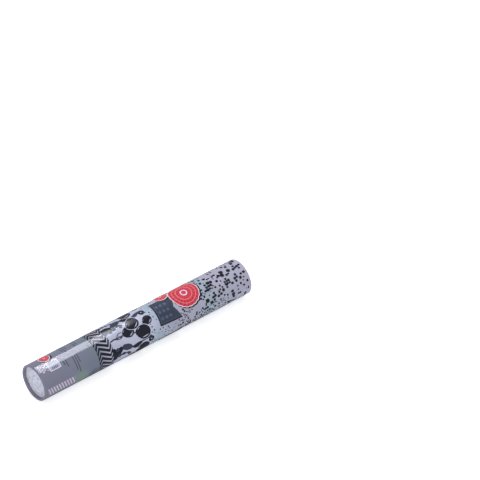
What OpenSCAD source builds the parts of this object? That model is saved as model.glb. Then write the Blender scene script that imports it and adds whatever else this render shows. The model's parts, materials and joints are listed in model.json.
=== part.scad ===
// Confetti popper, lying on its side: a pneumatic twist popper made of two cardboard tubes.
// The long tube is the barrel and the short one is the twist grip that holds the air bottle.
// Turning the grip drives two arms up a pair of ramps and draws the stopper out of the bottle,
// and the air throws the wad, the confetti and the closure out of the muzzle.
// Every piece is drawn upright, with its stations measured along the tube from the base rim
// and its radii from the tube's axis. lay() then puts it on its side along +X.
// Lengths are in millimetres and angles in degrees.

/* [Tubes] */
// Length from the base rim to the muzzle rim
total_l = 300; // [290:5:420]
// Outside diameter of the cardboard tubes
tube_od = 44.4; // [43.6:0.2:50]
// Wall thickness of the cardboard
tube_wall = 2.3; // [1.8:0.1:2.6]
// Length of the twist grip, to the joint between the two tubes
grip_l = 76.8; // [70:0.2:78]
// Open joint between the grip and the barrel
joint_gap = 0.5; // [0.3:0.1:1]
// Chamfer on the rims
rim_bevel = 0.5; // [0.2:0.1:0.9]

/* [Label] */
// Thickness of the printed paper
label_t = 0.15; // [0.1:0.05:0.3]
// Depth to which the paper is tucked into each open end
tuck_l = 3.6; // [2:0.2:3.8]

/* [Base plug] */
// Depth of the plug's face below the base rim
plug_recess = 4; // [3.8:0.2:6]
// Thickness of the plug's face
plug_face_t = 2; // [1.5:0.1:3]
// Thickness of the plug's skirt and ribs
plug_wall = 1.6; // [1:0.1:2]
// Height of the skirt above the face
plug_skirt_l = 11; // [6:0.5:16]
// Number of ribs that hold the bottle's foot
plug_ribs = 8; // [4:1:12]
// Height of the ridges on the outside of the face
plug_ridge_h = 0.5; // [0.3:0.1:0.8]
// Width of those ridges
plug_ridge_w = 1; // [0.6:0.1:1.5]

/* [Air bottle] */
// How far the bottle's lip stands past the joint, inside the barrel
lip_reach = 14.9; // [12:0.1:20]
// Thickness of the bottle's metal
bottle_wall = 0.8; // [0.6:0.1:1.2]
// Height of the domed shoulder
shoulder_h = 9; // [6:0.5:11]
// Outside diameter of the neck
neck_od = 15.6; // [15:0.1:16.4]
// Length of the neck, with its bead
neck_l = 7; // [6:0.5:9]
// Outside diameter of the bead at the lip
bead_od = 17.6; // [17.2:0.1:18]
// Height of the bead
bead_h = 2.6; // [2:0.1:3.4]
// Depth of the dome pressed into the foot
foot_dome_h = 4; // [2:0.5:6]
// Chamfer round the foot
foot_bevel = 1.6; // [0.8:0.2:2.4]
// Diameter of the filling hole in the foot
fill_hole_d = 5; // [3:0.5:7]
// Thickness of the foam pad under the foot
pad_t = 3; // [1.5:0.5:5]
// Height of the cardboard ring round the bottle
centring_l = 10; // [5:1:14]

/* [Valve] */
// Diameter of the bore that the stopper seals
seat_bore_d = 9; // [8:0.2:10]
// Length of the seat below the bottle's lip
seat_l = 10; // [9.5:0.5:13]
// Thickness of the seat's flange
seat_flange_t = 1.5; // [1:0.1:2.5]
// Thickness of the gasket under the flange
gasket_t = 0.6; // [0.4:0.1:1]
// Thickness of the crimped ferrule
ferrule_t = 0.45; // [0.3:0.05:0.6]
// Wall of the collar that turns the stopper
collar_wall = 2; // [1.4:0.1:2.6]
// Section of the sealing rings
o_ring_d = 1.16; // [1:0.02:1.6]

/* [Twist release] */
// Turn of the grip that fires the popper
twist_angle = 120; // [90:5:125]
// Lift of the stopper over that turn
stopper_lift = 7; // [6:0.5:9]
// Width of the stopper's two arms
arm_w = 4; // [3:0.2:5]
// Height of the arms
arm_h = 3.5; // [2.5:0.1:5]
// Thickness of the web that carries the ramps
web_t = 2; // [1.5:0.1:3]
// Wall of the cam ring
cam_wall = 1.5; // [1:0.1:2]
// Height of the cam ring's skirt below its web
cam_skirt_l = 5; // [3:0.5:7]
// Headroom over the lifted stopper
headroom = 4; // [2:0.5:8]

/* [Coupling] */
// Wall of the coupling sleeve where the grip turns on it
sleeve_wall = 1.4; // [1:0.1:1.6]
// Wall of the retaining ring in the grip
ring_wall = 1.6; // [1.2:0.1:2]
// Height of the flange that keeps the grip on
flange_h = 5; // [3:0.5:7]
// Height of the retaining ring in the grip
ring_l = 10; // [8:0.5:12]
// Height of the stop lug
lug_h = 4; // [3:0.5:5]
// Half of the angle that the stop lug takes up
lug_half_angle = 7; // [4:1:10]

/* [Charge] */
// Thickness of the gas plate
plate_t = 2; // [1.5:0.1:3]
// Diameter of the gas holes
gas_hole_d = 6; // [4:0.2:7]
// Number of gas holes round the plate
gas_holes = 8; // [4:1:8]
// Thickness of the foam wad
wad_foam_t = 6; // [3:0.5:10]
// Thickness of the wad's board
wad_board_t = 1.5; // [0.8:0.1:2.5]
// Length of a confetti slip
slip_l = 54; // [40:1:54]
// Height of the two stacks of slips at the sides, which leaves the rest of the bore to the width
side_stack_h = 16.4; // [12:0.2:20]
// Thickness of a bundle of slips
bundle_t = 1.4; // [1:0.1:2.5]
// How far alternate bundles stick out
bundle_stagger = 0.5; // [0.2:0.1:0.8]

/* [Closure] */
// Depth of the closure's face below the muzzle rim
closure_recess = 4; // [3.8:0.2:8]
// Thickness of the closure's board
closure_t = 1; // [0.6:0.1:1.6]
// Height of the closure's skirt
closure_skirt_l = 7; // [4:0.5:12]
// Thickness of the foil on the closure
foil_t = 0.2; // [0.1:0.05:0.3]

/* [Clearances] */
// Radial gap at the turning joint
turn_gap = 0.3; // [0.15:0.05:0.4]
// Gap round the bottle inside the sleeve
bottle_gap = 0.4; // [0.2:0.1:0.8]
// Gap between sliding parts of the release
slide_gap = 0.3; // [0.2:0.05:0.4]
// Radial gap of the sealing rings in the bore
seal_gap = 0.04; // [0.02:0.01:0.08]
// Radial gap of the stopper's shaft in the bore
shaft_gap = 0.2; // [0.1:0.05:0.3]
// Gap between the pieces of the charge, and round them
charge_gap = 0.3; // [0.15:0.05:0.4]
// Radial gap of the closure under the tucked paper
closure_gap = 0.12; // [0.05:0.01:0.2]

/* [Hidden] */

// Facets of round pieces, and of the outlines' arcs
$fn = 96;
arc_steps = 8;
// Extra length of every cut
overrun = 1;

// Radii of the tubes and of what the paper leaves open
tube_r = tube_od / 2;
bore_r = tube_r - tube_wall;
label_r = tube_r + label_t;
mouth_r = bore_r - label_t;

// Radii of the coupling, from the grip's bore inwards to the bottle
ring_bore_r = bore_r - ring_wall;
sleeve_neck_r = ring_bore_r - turn_gap;
sleeve_bore_r = sleeve_neck_r - sleeve_wall;
bottle_r = sleeve_bore_r - bottle_gap;

// Stations of the grip's pieces
plug_face_s = plug_recess;
pad_s = plug_face_s + plug_face_t;
bottle_s = pad_s + pad_t;
neck_r = neck_od / 2;
neck_bore_r = neck_r - bottle_wall;
bead_r = bead_od / 2;
barrel_s = grip_l + joint_gap;
lip_s = barrel_s + lip_reach;
bottle_l = lip_s - bottle_s;
bead_s = lip_s - bead_h;
shoulder_s = lip_s - neck_l - shoulder_h;
fill_hole_r = fill_hole_d / 2;
foot_dome_r = bottle_r - 2 * foot_bevel;

// Valve seat, ferrule and collar
seat_bore_r = seat_bore_d / 2;
flange_s = lip_s + gasket_t;
flange_top_s = flange_s + seat_flange_t;
ferrule_r = bead_r + ferrule_t;
ferrule_top_s = flange_top_s + ferrule_t;
ferrule_mouth_r = (seat_bore_r + bead_r) / 2;
collar_r = ferrule_r + collar_wall;

// Stopper, with its ends and rings kept inside the seat at rest
shaft_r = seat_bore_r - shaft_gap;
o_ring_centre_r = seat_bore_r - seal_gap - o_ring_d / 2;
groove_r = o_ring_centre_r - o_ring_d / 2;
groove_w = 1.5 * o_ring_d;
shaft_tip_s = lip_s - seat_l + o_ring_d;
groove_stations = [for (i = [1, 3]) shaft_tip_s + i * groove_w];
hub_s = ferrule_top_s + slide_gap;
arm_s = hub_s + slide_gap + web_t;
hub_r = shaft_r + o_ring_d;
hub_top_s = arm_s + arm_h + o_ring_d;

// Cam ring: its ramps start where the leading edge of an arm rests, and run into its wall
web_bore_r = collar_r + slide_gap;
cam_bore_r = bore_r - cam_wall;
ramp_in_r = web_bore_r + slide_gap;
ramp_out_r = bore_r - cam_wall / 2;
arm_r = cam_bore_r - slide_gap;
web_top_s = arm_s - slide_gap;
web_s = web_top_s - web_t;
cam_s = web_s - cam_skirt_l;
cam_top_s = hub_top_s + stopper_lift + headroom;
arm_half_angle = asin(arm_w / 2 / web_bore_r);
ramp_start = arm_half_angle;
ramp_steps = 24;

// Coupling: the flange on the barrel's sleeve hooks under the ring in the grip
flange_r = bore_r - turn_gap;
ring_top_s = grip_l - joint_gap;
ring_s = ring_top_s - ring_l;
sleeve_flange_top_s = ring_s - turn_gap;
sleeve_s = sleeve_flange_top_s - flange_h;
lug_r = bore_r - turn_gap;
lug_top_s = ring_top_s;
lug_centre = 90;
lug_play = 1;
recess_angle = twist_angle + 2 * (lug_half_angle + lug_play);
centring_s = (pad_s + plug_skirt_l + sleeve_s - centring_l) / 2;

// Charge, from the gas plate to the muzzle
plate_s = cam_top_s;
wad_foam_s = plate_s + plate_t + charge_gap;
wad_board_s = wad_foam_s + wad_foam_t;
wad_r = mouth_r - charge_gap;
charge_s = wad_board_s + wad_board_t + charge_gap;
closure_face_s = total_l - closure_recess;
closure_board_s = closure_face_s - foil_t - closure_t;
closure_skirt_s = closure_board_s - closure_skirt_l;
closure_r = mouth_r - closure_gap;
charge_l = closure_skirt_s - charge_gap - charge_s;
tiers = floor(charge_l / (slip_l + charge_gap));

// Half a chord of the charge's round outline, at the distance d from the axis
function half_chord(d) = sqrt(pow(wad_r, 2) - pow(d, 2));
side_stack_x = half_chord(side_stack_h / 2);
slip_w = side_stack_x - charge_gap / 2 - bundle_stagger;
end_stack_s = side_stack_h / 2 + charge_gap;
end_stack_h = half_chord(slip_w / 2 + bundle_stagger) - end_stack_s;

// Points of a quarter ellipse from angle a0 to a1
function quarter(cx, cy, rx, ry, a0, a1) =
    [for (i = [0 : arc_steps]) let (a = a0 + (a1 - a0) * i / arc_steps) [cx + rx * cos(a), cy + ry * sin(a)]];

// Points along the dome of the foot, raised by lift, from radius r0 to r1
function dome(lift, r0, r1) =
    [for (i = [0 : arc_steps])
        let (r = r0 + (r1 - r0) * i / arc_steps)
        [r, lift + foot_dome_h * (1 - pow(r / foot_dome_r, 2))]];

// Lays the upright popper on its side: the base faces -X and the lowest line is at Z = 0
module lay() {
    translate([-total_l / 2, 0, label_r]) rotate([0, 90, 0]) children();
}

// A plain ring between two stations
module ring(r_in, r_out, s0, s1) {
    translate([0, 0, s0]) difference() {
        cylinder(r = r_out, h = s1 - s0);
        translate([0, 0, -overrun]) cylinder(r = r_in, h = s1 - s0 + 2 * overrun);
    }
}

// A disc between two stations
module disc(r, s0, s1) {
    translate([0, 0, s0]) cylinder(r = r, h = s1 - s0);
}

// A cardboard tube whose bevelled rim is one paper thickness above station 0
module paper_tube(l) {
    rotate_extrude() polygon([
        [tube_r, l],
        [tube_r, label_t + rim_bevel],
        [tube_r - rim_bevel, label_t],
        [bore_r + rim_bevel, label_t],
        [bore_r, label_t + rim_bevel],
        [bore_r, l]
    ]);
}

// The printed paper round such a tube, turned over the rim and tucked into the bore
module paper_wrap(l) {
    rotate_extrude() polygon([
        [label_r, l],
        [label_r, rim_bevel],
        [label_r - rim_bevel, 0],
        [mouth_r + rim_bevel, 0],
        [mouth_r, rim_bevel],
        [mouth_r, tuck_l],
        [bore_r, tuck_l],
        [bore_r, label_t + rim_bevel],
        [bore_r + rim_bevel, label_t],
        [tube_r - rim_bevel, label_t],
        [tube_r, label_t + rim_bevel],
        [tube_r, l]
    ]);
}

// Turns a tube's rim to the muzzle
module at_muzzle() {
    translate([0, 0, total_l]) mirror([0, 0, 1]) children();
}

module barrel_tube() {
    color("burlywood") lay() at_muzzle() paper_tube(total_l - barrel_s);
}

module barrel_label() {
    color("lightsteelblue") lay() at_muzzle() paper_wrap(total_l - barrel_s);
}

module grip_tube() {
    color("burlywood") lay() paper_tube(grip_l);
}

module grip_label() {
    color("slategray") lay() paper_wrap(grip_l);
}

// Sleeve glued into the barrel: the grip turns on its neck, between the flange and the barrel
module coupling_sleeve() {
    color("dimgray") lay() {
        rotate_extrude() polygon([
            [sleeve_bore_r, sleeve_s],
            [flange_r, sleeve_s],
            [flange_r, sleeve_flange_top_s],
            [sleeve_neck_r, sleeve_flange_top_s],
            [sleeve_neck_r, barrel_s],
            [bore_r, barrel_s],
            [bore_r, cam_s],
            [sleeve_bore_r, cam_s]
        ]);
        stop_lug();
    }
}

// Lug that meets the ends of the retaining ring's recess
module stop_lug() {
    translate([0, 0, lug_top_s - lug_h]) rotate([0, 0, lug_centre - lug_half_angle])
        rotate_extrude(angle = 2 * lug_half_angle)
            translate([sleeve_neck_r - sleeve_wall / 2, 0])
                square([lug_r - sleeve_neck_r + sleeve_wall / 2, lug_h]);
}

// Ring glued into the grip, with a recess in which the stop lug travels
module retaining_ring() {
    recess_h = lug_h + turn_gap;
    color("gainsboro") lay() difference() {
        ring(ring_bore_r, bore_r, ring_s, ring_top_s);
        translate([0, 0, ring_top_s - recess_h])
            rotate([0, 0, lug_centre + lug_half_angle + lug_play - recess_angle])
                rotate_extrude(angle = recess_angle)
                    translate([sleeve_neck_r, 0]) square([bore_r - sleeve_neck_r + overrun, recess_h + overrun]);
    }
}

// Helical ramp that comes up through the web, rises by the stopper's lift over the twist
// and then runs level ahead of the parked arm
module ramp() {
    ramp_foot = -arm_half_angle;
    ramp_end = twist_angle + 2 * arm_half_angle;
    function ramp_top(a) = web_top_s + stopper_lift * min(a / twist_angle, 1);
    root_s = web_top_s - web_t / 2;
    sections = [for (i = [0 : ramp_steps]) let (a = ramp_foot + (ramp_end - ramp_foot) * i / ramp_steps)
        [for (p = [
            [ramp_in_r, root_s], [ramp_out_r, root_s],
            [ramp_out_r, ramp_top(a)], [ramp_in_r, ramp_top(a)]
        ]) [p[0] * cos(a), p[0] * sin(a), p[1]]]];
    corners = len(sections[0]);
    points = [for (section = sections) for (p = section) p];
    sides = [for (i = [0 : ramp_steps - 1]) for (k = [0 : corners - 1])
        let (
            a = i * corners + k,
            b = i * corners + (k + 1) % corners
        )
        each [[a, b, a + corners], [b, b + corners, a + corners]]];
    last = ramp_steps * corners;
    ends = [
        [for (k = [corners - 1 : -1 : 0]) k],
        [for (k = [0 : corners - 1]) last + k]
    ];
    polyhedron(points, concat(sides, ends));
}

// Ring glued into the barrel over the sleeve: its web carries the two ramps
module cam_ring() {
    color("whitesmoke") lay() {
        ring(cam_bore_r, bore_r, cam_s, cam_top_s);
        ring(web_bore_r, ramp_out_r, web_s, web_top_s);
        for (side = [0, 180]) rotate([0, 0, side + ramp_start]) ramp();
    }
}

// Perforated plate that lets the air through and catches the stopper
module gas_plate() {
    hole_circle_share = 0.62;
    color("whitesmoke") lay() translate([0, 0, plate_s]) difference() {
        cylinder(r = bore_r, h = plate_t);
        translate([0, 0, -overrun]) cylinder(d = gas_hole_d, h = plate_t + 2 * overrun);
        for (i = [0 : gas_holes - 1])
            rotate([0, 0, i * 360 / gas_holes]) translate([hole_circle_share * bore_r, 0, -overrun])
                cylinder(d = gas_hole_d, h = plate_t + 2 * overrun);
    }
}

// White plug glued into the base, with ribs round the bottle's foot and ridges on its face
module base_plug() {
    ridge_shares = [0.36, 0.72];
    nub_share = 0.08;
    rib_s = pad_s - plug_face_t / 2;
    color("white") lay() {
        disc(bore_r, plug_face_s, pad_s);
        ring(bore_r - plug_wall, bore_r, rib_s, pad_s + plug_skirt_l);
        for (share = ridge_shares)
            ring(share * bore_r - plug_ridge_w / 2, share * bore_r + plug_ridge_w / 2,
                plug_face_s - plug_ridge_h, rib_s);
        disc(nub_share * bore_r, plug_face_s - plug_ridge_h, rib_s);
        difference() {
            for (i = [0 : plug_ribs - 1])
                rotate([0, 0, i * 360 / plug_ribs]) translate([0, -plug_wall / 2, rib_s])
                    cube([bore_r - plug_wall / 2, plug_wall, pad_s + plug_skirt_l - rib_s]);
            disc(bottle_r, pad_s, pad_s + plug_skirt_l + overrun);
        }
    }
}

// Foam pad under the bottle's foot
module bottle_pad() {
    color("darkgray") lay() disc(bottle_r - foot_bevel, pad_s, bottle_s);
}

// Drawn aluminium bottle: domed foot with a filling hole, shoulder, neck and bead
module air_bottle() {
    inner_r = bottle_r - bottle_wall;
    outer = concat(
        dome(0, fill_hole_r, foot_dome_r),
        [[bottle_r - foot_bevel, 0], [bottle_r, foot_bevel]],
        quarter(neck_r, shoulder_s - bottle_s, bottle_r - neck_r, shoulder_h, 0, 90),
        [[neck_r, bead_s - bottle_s], [bead_r, bead_s - bottle_s], [bead_r, bottle_l]]
    );
    inner = concat(
        [[neck_bore_r, bottle_l]],
        quarter(neck_bore_r, shoulder_s - bottle_s, inner_r - neck_bore_r, shoulder_h - bottle_wall, 90, 0),
        [[inner_r, foot_bevel + bottle_wall], [inner_r - foot_bevel, bottle_wall]],
        dome(bottle_wall, foot_dome_r, fill_hole_r)
    );
    color("silver") lay() translate([0, 0, bottle_s]) rotate_extrude() polygon(concat(outer, inner));
}

// Rubber plug that closes the filling hole, with a head inside the bottle
module fill_plug() {
    head_h = fill_hole_r;
    hole_s = bottle_s + foot_dome_h * (1 - pow(fill_hole_r / foot_dome_r, 2));
    color("black") lay() {
        disc(fill_hole_r, hole_s, hole_s + bottle_wall + head_h);
        translate([0, 0, bottle_s + foot_dome_h + bottle_wall]) cylinder(r1 = 2 * fill_hole_r, r2 = fill_hole_r, h = head_h);
    }
}

// Cardboard ring that keeps the bottle in the middle of the grip
module centring_ring() {
    color("burlywood") lay() ring(bottle_r, bore_r, centring_s, centring_s + centring_l);
}

// Plastic seat in the neck, whose bore the stopper seals
module valve_seat() {
    color("white") lay() difference() {
        union() {
            disc(neck_bore_r, lip_s - seat_l, flange_top_s);
            disc(bead_r, flange_s, flange_top_s);
        }
        disc(seat_bore_r, lip_s - seat_l - overrun, flange_top_s + overrun);
    }
}

// Rubber washer between the bottle's lip and the seat's flange
module seat_gasket() {
    color("black") lay() ring(neck_bore_r, bead_r, lip_s, flange_s);
}

// Aluminium ferrule crimped over the flange and under the bead
module crimp_ferrule() {
    hook_r = (neck_r + bead_r) / 2;
    color("silver") lay() {
        rotate_extrude() polygon([
            [ferrule_mouth_r, ferrule_top_s],
            [ferrule_r, ferrule_top_s],
            [ferrule_r, bead_s - ferrule_t],
            [hook_r, bead_s - ferrule_t],
            [hook_r, bead_s],
            [bead_r, bead_s],
            [bead_r, flange_top_s],
            [ferrule_mouth_r, flange_top_s]
        ]);
    }
}

// Slotted collar on the ferrule: it turns with the bottle and carries the stopper's arms round
module driver_collar() {
    collar_top_s = arm_s + arm_h + stopper_lift;
    slot_s = arm_s - slide_gap;
    slot_w = arm_w + 2 * slide_gap;
    color("darkorange") lay() difference() {
        ring(ferrule_r, collar_r, bead_s, collar_top_s);
        translate([-collar_r - overrun, -slot_w / 2, slot_s])
            cube([2 * (collar_r + overrun), slot_w, collar_top_s - slot_s + overrun]);
    }
}

// Stopper: a grooved shaft in the seat's bore, a hub, and two arms that ride on the ramps
module stopper() {
    color("firebrick") lay() difference() {
        union() {
            disc(shaft_r, shaft_tip_s, hub_s + slide_gap);
            disc(hub_r, hub_s, hub_top_s);
            intersection() {
                translate([-arm_r, -arm_w / 2, arm_s]) cube([2 * arm_r, arm_w, arm_h]);
                disc(arm_r, arm_s, arm_s + arm_h);
            }
        }
        for (s = groove_stations)
            ring(groove_r, shaft_r + overrun, s - groove_w / 2, s + groove_w / 2);
    }
}

// The two sealing rings in the stopper's grooves
module stopper_o_rings() {
    color("black") lay() for (s = groove_stations)
        translate([0, 0, s]) rotate_extrude() translate([o_ring_centre_r, 0]) circle(d = o_ring_d, $fn = 32);
}

// Foam disc that seals the bore behind the confetti
module wad_foam() {
    color("lightgray") lay() disc(wad_r, wad_foam_s, wad_board_s);
}

// Board disc that spreads the push over the confetti
module wad_board() {
    color("burlywood") lay() disc(wad_r, wad_board_s, wad_board_s + wad_board_t);
}

// A stack of slip bundles of height h, each second bundle set out by the stagger
module slip_stack(h) {
    bundles = floor(h / bundle_t);
    for (i = [0 : bundles - 1])
        translate([-slip_w / 2 + (i % 2 == 0 ? -1 : 1) * bundle_stagger / 2, i * bundle_t, 0])
            cube([slip_w, bundle_t, slip_l]);
}

// Tiers of foil slips: two columns side by side, and one above and one below them
module confetti_slips() {
    stack_x = (slip_w + charge_gap + bundle_stagger) / 2;
    color("silver") lay() for (tier = [0 : tiers - 1])
        translate([0, 0, charge_s + tier * (slip_l + charge_gap)]) {
            for (side = [-1, 1]) translate([side * stack_x, -side_stack_h / 2, 0])
                slip_stack(side_stack_h);
            for (turn = [0, 180]) rotate([0, 0, turn]) translate([0, end_stack_s, 0])
                slip_stack(end_stack_h);
        }
}

// Board cup that closes the muzzle and flies off with the charge
module closure_cup() {
    color("burlywood") lay() {
        disc(closure_r, closure_board_s, closure_board_s + closure_t);
        ring(closure_r - closure_t, closure_r, closure_skirt_s, closure_board_s + closure_t / 2);
    }
}

// Silver foil on the closure's face
module closure_foil() {
    color("silver") lay() disc(closure_r, closure_face_s - foil_t, closure_face_s);
}

barrel_tube();
barrel_label();
coupling_sleeve();
cam_ring();
gas_plate();
grip_tube();
grip_label();
base_plug();
bottle_pad();
air_bottle();
fill_plug();
centring_ring();
retaining_ring();
valve_seat();
seat_gasket();
crimp_ferrule();
driver_collar();
stopper();
stopper_o_rings();
wad_foam();
wad_board();
confetti_slips();
closure_cup();
closure_foil();
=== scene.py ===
"""Looks of a confetti popper that lies on a white table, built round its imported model.

Lengths are in metres. A station is measured along the tube from its base rim, and an angle
round the tube from +Y towards +Z, so that 90 degrees is the top. The print is drawn flat, as
points of (station, distance round the paper), and then laid round the tube.
"""

import json
import math
import random

import bmesh
import bpy
from bpy.props import FloatProperty, FloatVectorProperty, IntProperty, PointerProperty
from mathutils import Matrix, Vector, noise
from mathutils.geometry import tessellate_polygon


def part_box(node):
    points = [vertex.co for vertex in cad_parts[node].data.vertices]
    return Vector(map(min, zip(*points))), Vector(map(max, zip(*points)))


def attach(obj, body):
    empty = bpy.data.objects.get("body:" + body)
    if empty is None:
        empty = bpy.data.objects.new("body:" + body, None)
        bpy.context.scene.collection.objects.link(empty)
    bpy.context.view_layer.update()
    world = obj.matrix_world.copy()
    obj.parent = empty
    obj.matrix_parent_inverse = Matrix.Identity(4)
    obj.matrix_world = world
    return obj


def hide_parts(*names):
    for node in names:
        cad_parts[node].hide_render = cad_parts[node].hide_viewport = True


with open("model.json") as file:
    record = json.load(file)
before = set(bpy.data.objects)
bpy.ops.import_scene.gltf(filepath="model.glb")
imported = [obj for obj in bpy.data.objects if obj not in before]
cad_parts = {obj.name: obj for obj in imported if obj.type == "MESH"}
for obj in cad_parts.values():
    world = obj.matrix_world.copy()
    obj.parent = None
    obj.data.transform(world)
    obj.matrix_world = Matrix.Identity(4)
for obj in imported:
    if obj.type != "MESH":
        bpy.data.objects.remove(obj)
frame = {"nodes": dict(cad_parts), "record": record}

bl_info = {
    "name": "Confetti popper",
    "version": (1, 0, 0),
    "blender": (4, 5, 0),
    "location": "View3D > Sidebar > Popper",
    "description": "Dresses the packed model of a confetti popper with paper, print, foil and board",
    "category": "Object",
}

MM = 0.001
TURN = 2 * math.pi

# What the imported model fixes
CLIP = next(mount for mount in frame["record"]["mounts"] if mount["name"] == "barrel_clip")
PAPER_R = CLIP["dims"]["r_mm"] * MM
AXIS_Z = CLIP["pos_m"][2]
BASE_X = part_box("grip_label")[0].x
GRIP_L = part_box("grip_label")[1].x - BASE_X
BARREL_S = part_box("barrel_label")[0].x - BASE_X
TOTAL_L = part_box("barrel_label")[1].x - BASE_X
PAPER_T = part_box("grip_tube")[0].x - BASE_X
BOARD_R = PAPER_R - PAPER_T
BORE_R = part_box("coupling_sleeve")[1].y
MOUTH_R = BORE_R - PAPER_T
PAPER_ROUND = TURN * PAPER_R

# Facets round the paper, and steps of a rounded edge
FACETS = 192
EDGE_STEPS = 5
# The paper's overlap along the hidden side: where its edge lies, how wide the step is, how far
# the paper lies double, and how far it takes to come down again
SEAM_ANGLE = math.radians(12)
SEAM_STEP = math.radians(0.15)
SEAM_OVERLAP = 7 * MM
SEAM_FALL = 3 * MM
# Heights that the shapes of one layer of ink take in turn, and the share of a layer between them
STAGGERS = 8
STAGGER = 0.06
# Points closer together than this are one point
WELD = 0.001 * MM
# Length of tube in one turn of the board's spiral plies
PLY_PITCH = 48 * MM
# Film over the paper and every ink on it
FILM = {"Coat_Weight": 0.45, "Coat_Roughness": 0.12, "Coat_IOR": 1.5, "Specular_IOR_Level": 0.0}

# The print's motifs. Stations and lengths without a unit are in mm, and angles in degrees

# The lowest layer of ink of each motif that covers others
BALLOON_LAYER = 3
PENNANT_LAYER = 9
FAN_LAYER = 12
# Paper fans: station, angle, and radius as a share of the largest
FANS = ((214, 98, 1.0), (189, 63, 0.48), (217, 302, 0.88), (243, 345, 0.4), (227, 20, 0.36))
# Pennants: station, angle and tilt
PENNANTS = ((183, 122, 3), (184, 250, -8), (187, 352, 10))
# Balloons of a bunch from the bottom up: reach beyond the chevrons, place to one side, and scale
BUNCH = ((54, 3.0, 0.66), (28, 0.5, 0.8), (36, 8.0, 0.9), (43, -6.5, 1.0))
# Streamers beside a bunch: place to one side, reach, and share of the full width
STREAMERS = ((17.5, 56, 1.0), (-12.5, 24, 0.62), (11.0, 19, 0.55))
# Sway of a string, and a full streamer's sway, curl and start under the chevrons
STRING_SWAY = 1.2 * MM
STREAMER_SWAY = 2.3 * MM
STREAMER_CURL = 3.4 * MM
STREAMER_START = 1.5 * MM
# Bare paper round a fan, and between the squares and the muzzle's rim
FAN_ROOM = 2.0 * MM
RIM_ROOM = 1.0 * MM
# Clumps of large squares: station, angle and number of squares
CLUMPS = ((242, 118, 7), (248, 152, 6), (284, 131, 6), (289, 103, 6), (239, 262, 7), (252, 40, 6))
# Bare panels of the grip: station, angle, length and width
PANELS = ((22.7, 112, 15.5, 13), (42, 300, 46, 30))
# Bars in the first panel: first station, angle, spacing, and their lengths
BARS = (19.4, 122, 2.2, (3.4, 2.9, 3.4, 2.9))
# Groups of rules: first station, angle, and the lengths of the rules
RULES = (
    (35, 127, (6, 9)),
    (47.6, 143, (17, 21, 10)),
    (43, 72, (14, 17, 12)),
    (60, 76, (10, 8)),
    (63.5, 240, (26, 30, 18)),
)
# Width of the bars and rules, and spacing of the rules
RULE_W = 1.1
RULE_PITCH = 3.1
# The striped panel: station, angle, length and width. Its stripes: first station and spacing
STRIPE_PANEL = (23.6, 187, 40, 11.4)
STRIPES = (5, 3.7)
# Dots of the grip: first station and angle, and their spacing along and round
DOTS = (4.5, 98, 2.9, 9)
# Fans of the grip: station, angle, radius, and tilt in radians
GRIP_FANS = ((20, 74, 6.4, 0.1), (32, 345, 7, 0.4))

# The overhead strip softbox and the one beyond the base: middle, the way that the second side
# runs, and both sides
KEY_BOX = ((0.562, 0.422, 1.336), (0, -0.954, 0.301), (0.17, 1.16))
FILL_BOX = ((-3.04, -1.92, 1.76), (0, 0, 1), (2.56, 2.56))
LAMP_TINT = (0.94, 0.96, 1.06)
# The table: half its side, and the light that it adds where the camera sees it
TABLE_HALF = 4.0
TABLE_GLOW = 0.58
# Folds of the closure's foil: direction in degrees, and pitch and depth in mm
FOLDS = ((12, 9.5, 0.3), (74, 8.0, 0.26), (131, 11.0, 0.3), (161, 4.6, 0.1), (98, 5.3, 0.1))


def linear(code):
    """A colour written as six hexadecimal digits, as linear red, green and blue."""
    shares = [int(code[i : i + 2], 16) / 255 for i in (0, 2, 4)]
    return tuple(((s + 0.055) / 1.055) ** 2.4 if s > 0.04045 else s / 12.92 for s in shares)


def toned(shade, share, lift=0.0):
    """A colour made darker or lighter by a share, and lifted a little."""
    return [min(1.0, c * share + lift) for c in shade]


def slot_colour(slot):
    """The colour that the record gives to a material slot."""
    return next(tuple(m["base_color"]) for m in frame["record"]["materials"] if m["slot"] == slot)


# Settings


def length(name, description, default):
    return FloatProperty(name=name, description=description, default=default, unit="LENGTH", precision=5)


def bearing(name, description, degrees):
    return FloatProperty(name=name, description=description, default=math.radians(degrees), subtype="ANGLE")


def brightness(name, description, default):
    return FloatProperty(name=name, description=description, default=default, subtype="FACTOR", min=0, max=1)


def amount(name, description, default):
    return IntProperty(name=name, description=description, default=default, min=1)


def colour(name, description, default):
    return FloatVectorProperty(
        name=name, description=description, default=default, subtype="COLOR", min=0, max=1
    )


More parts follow.
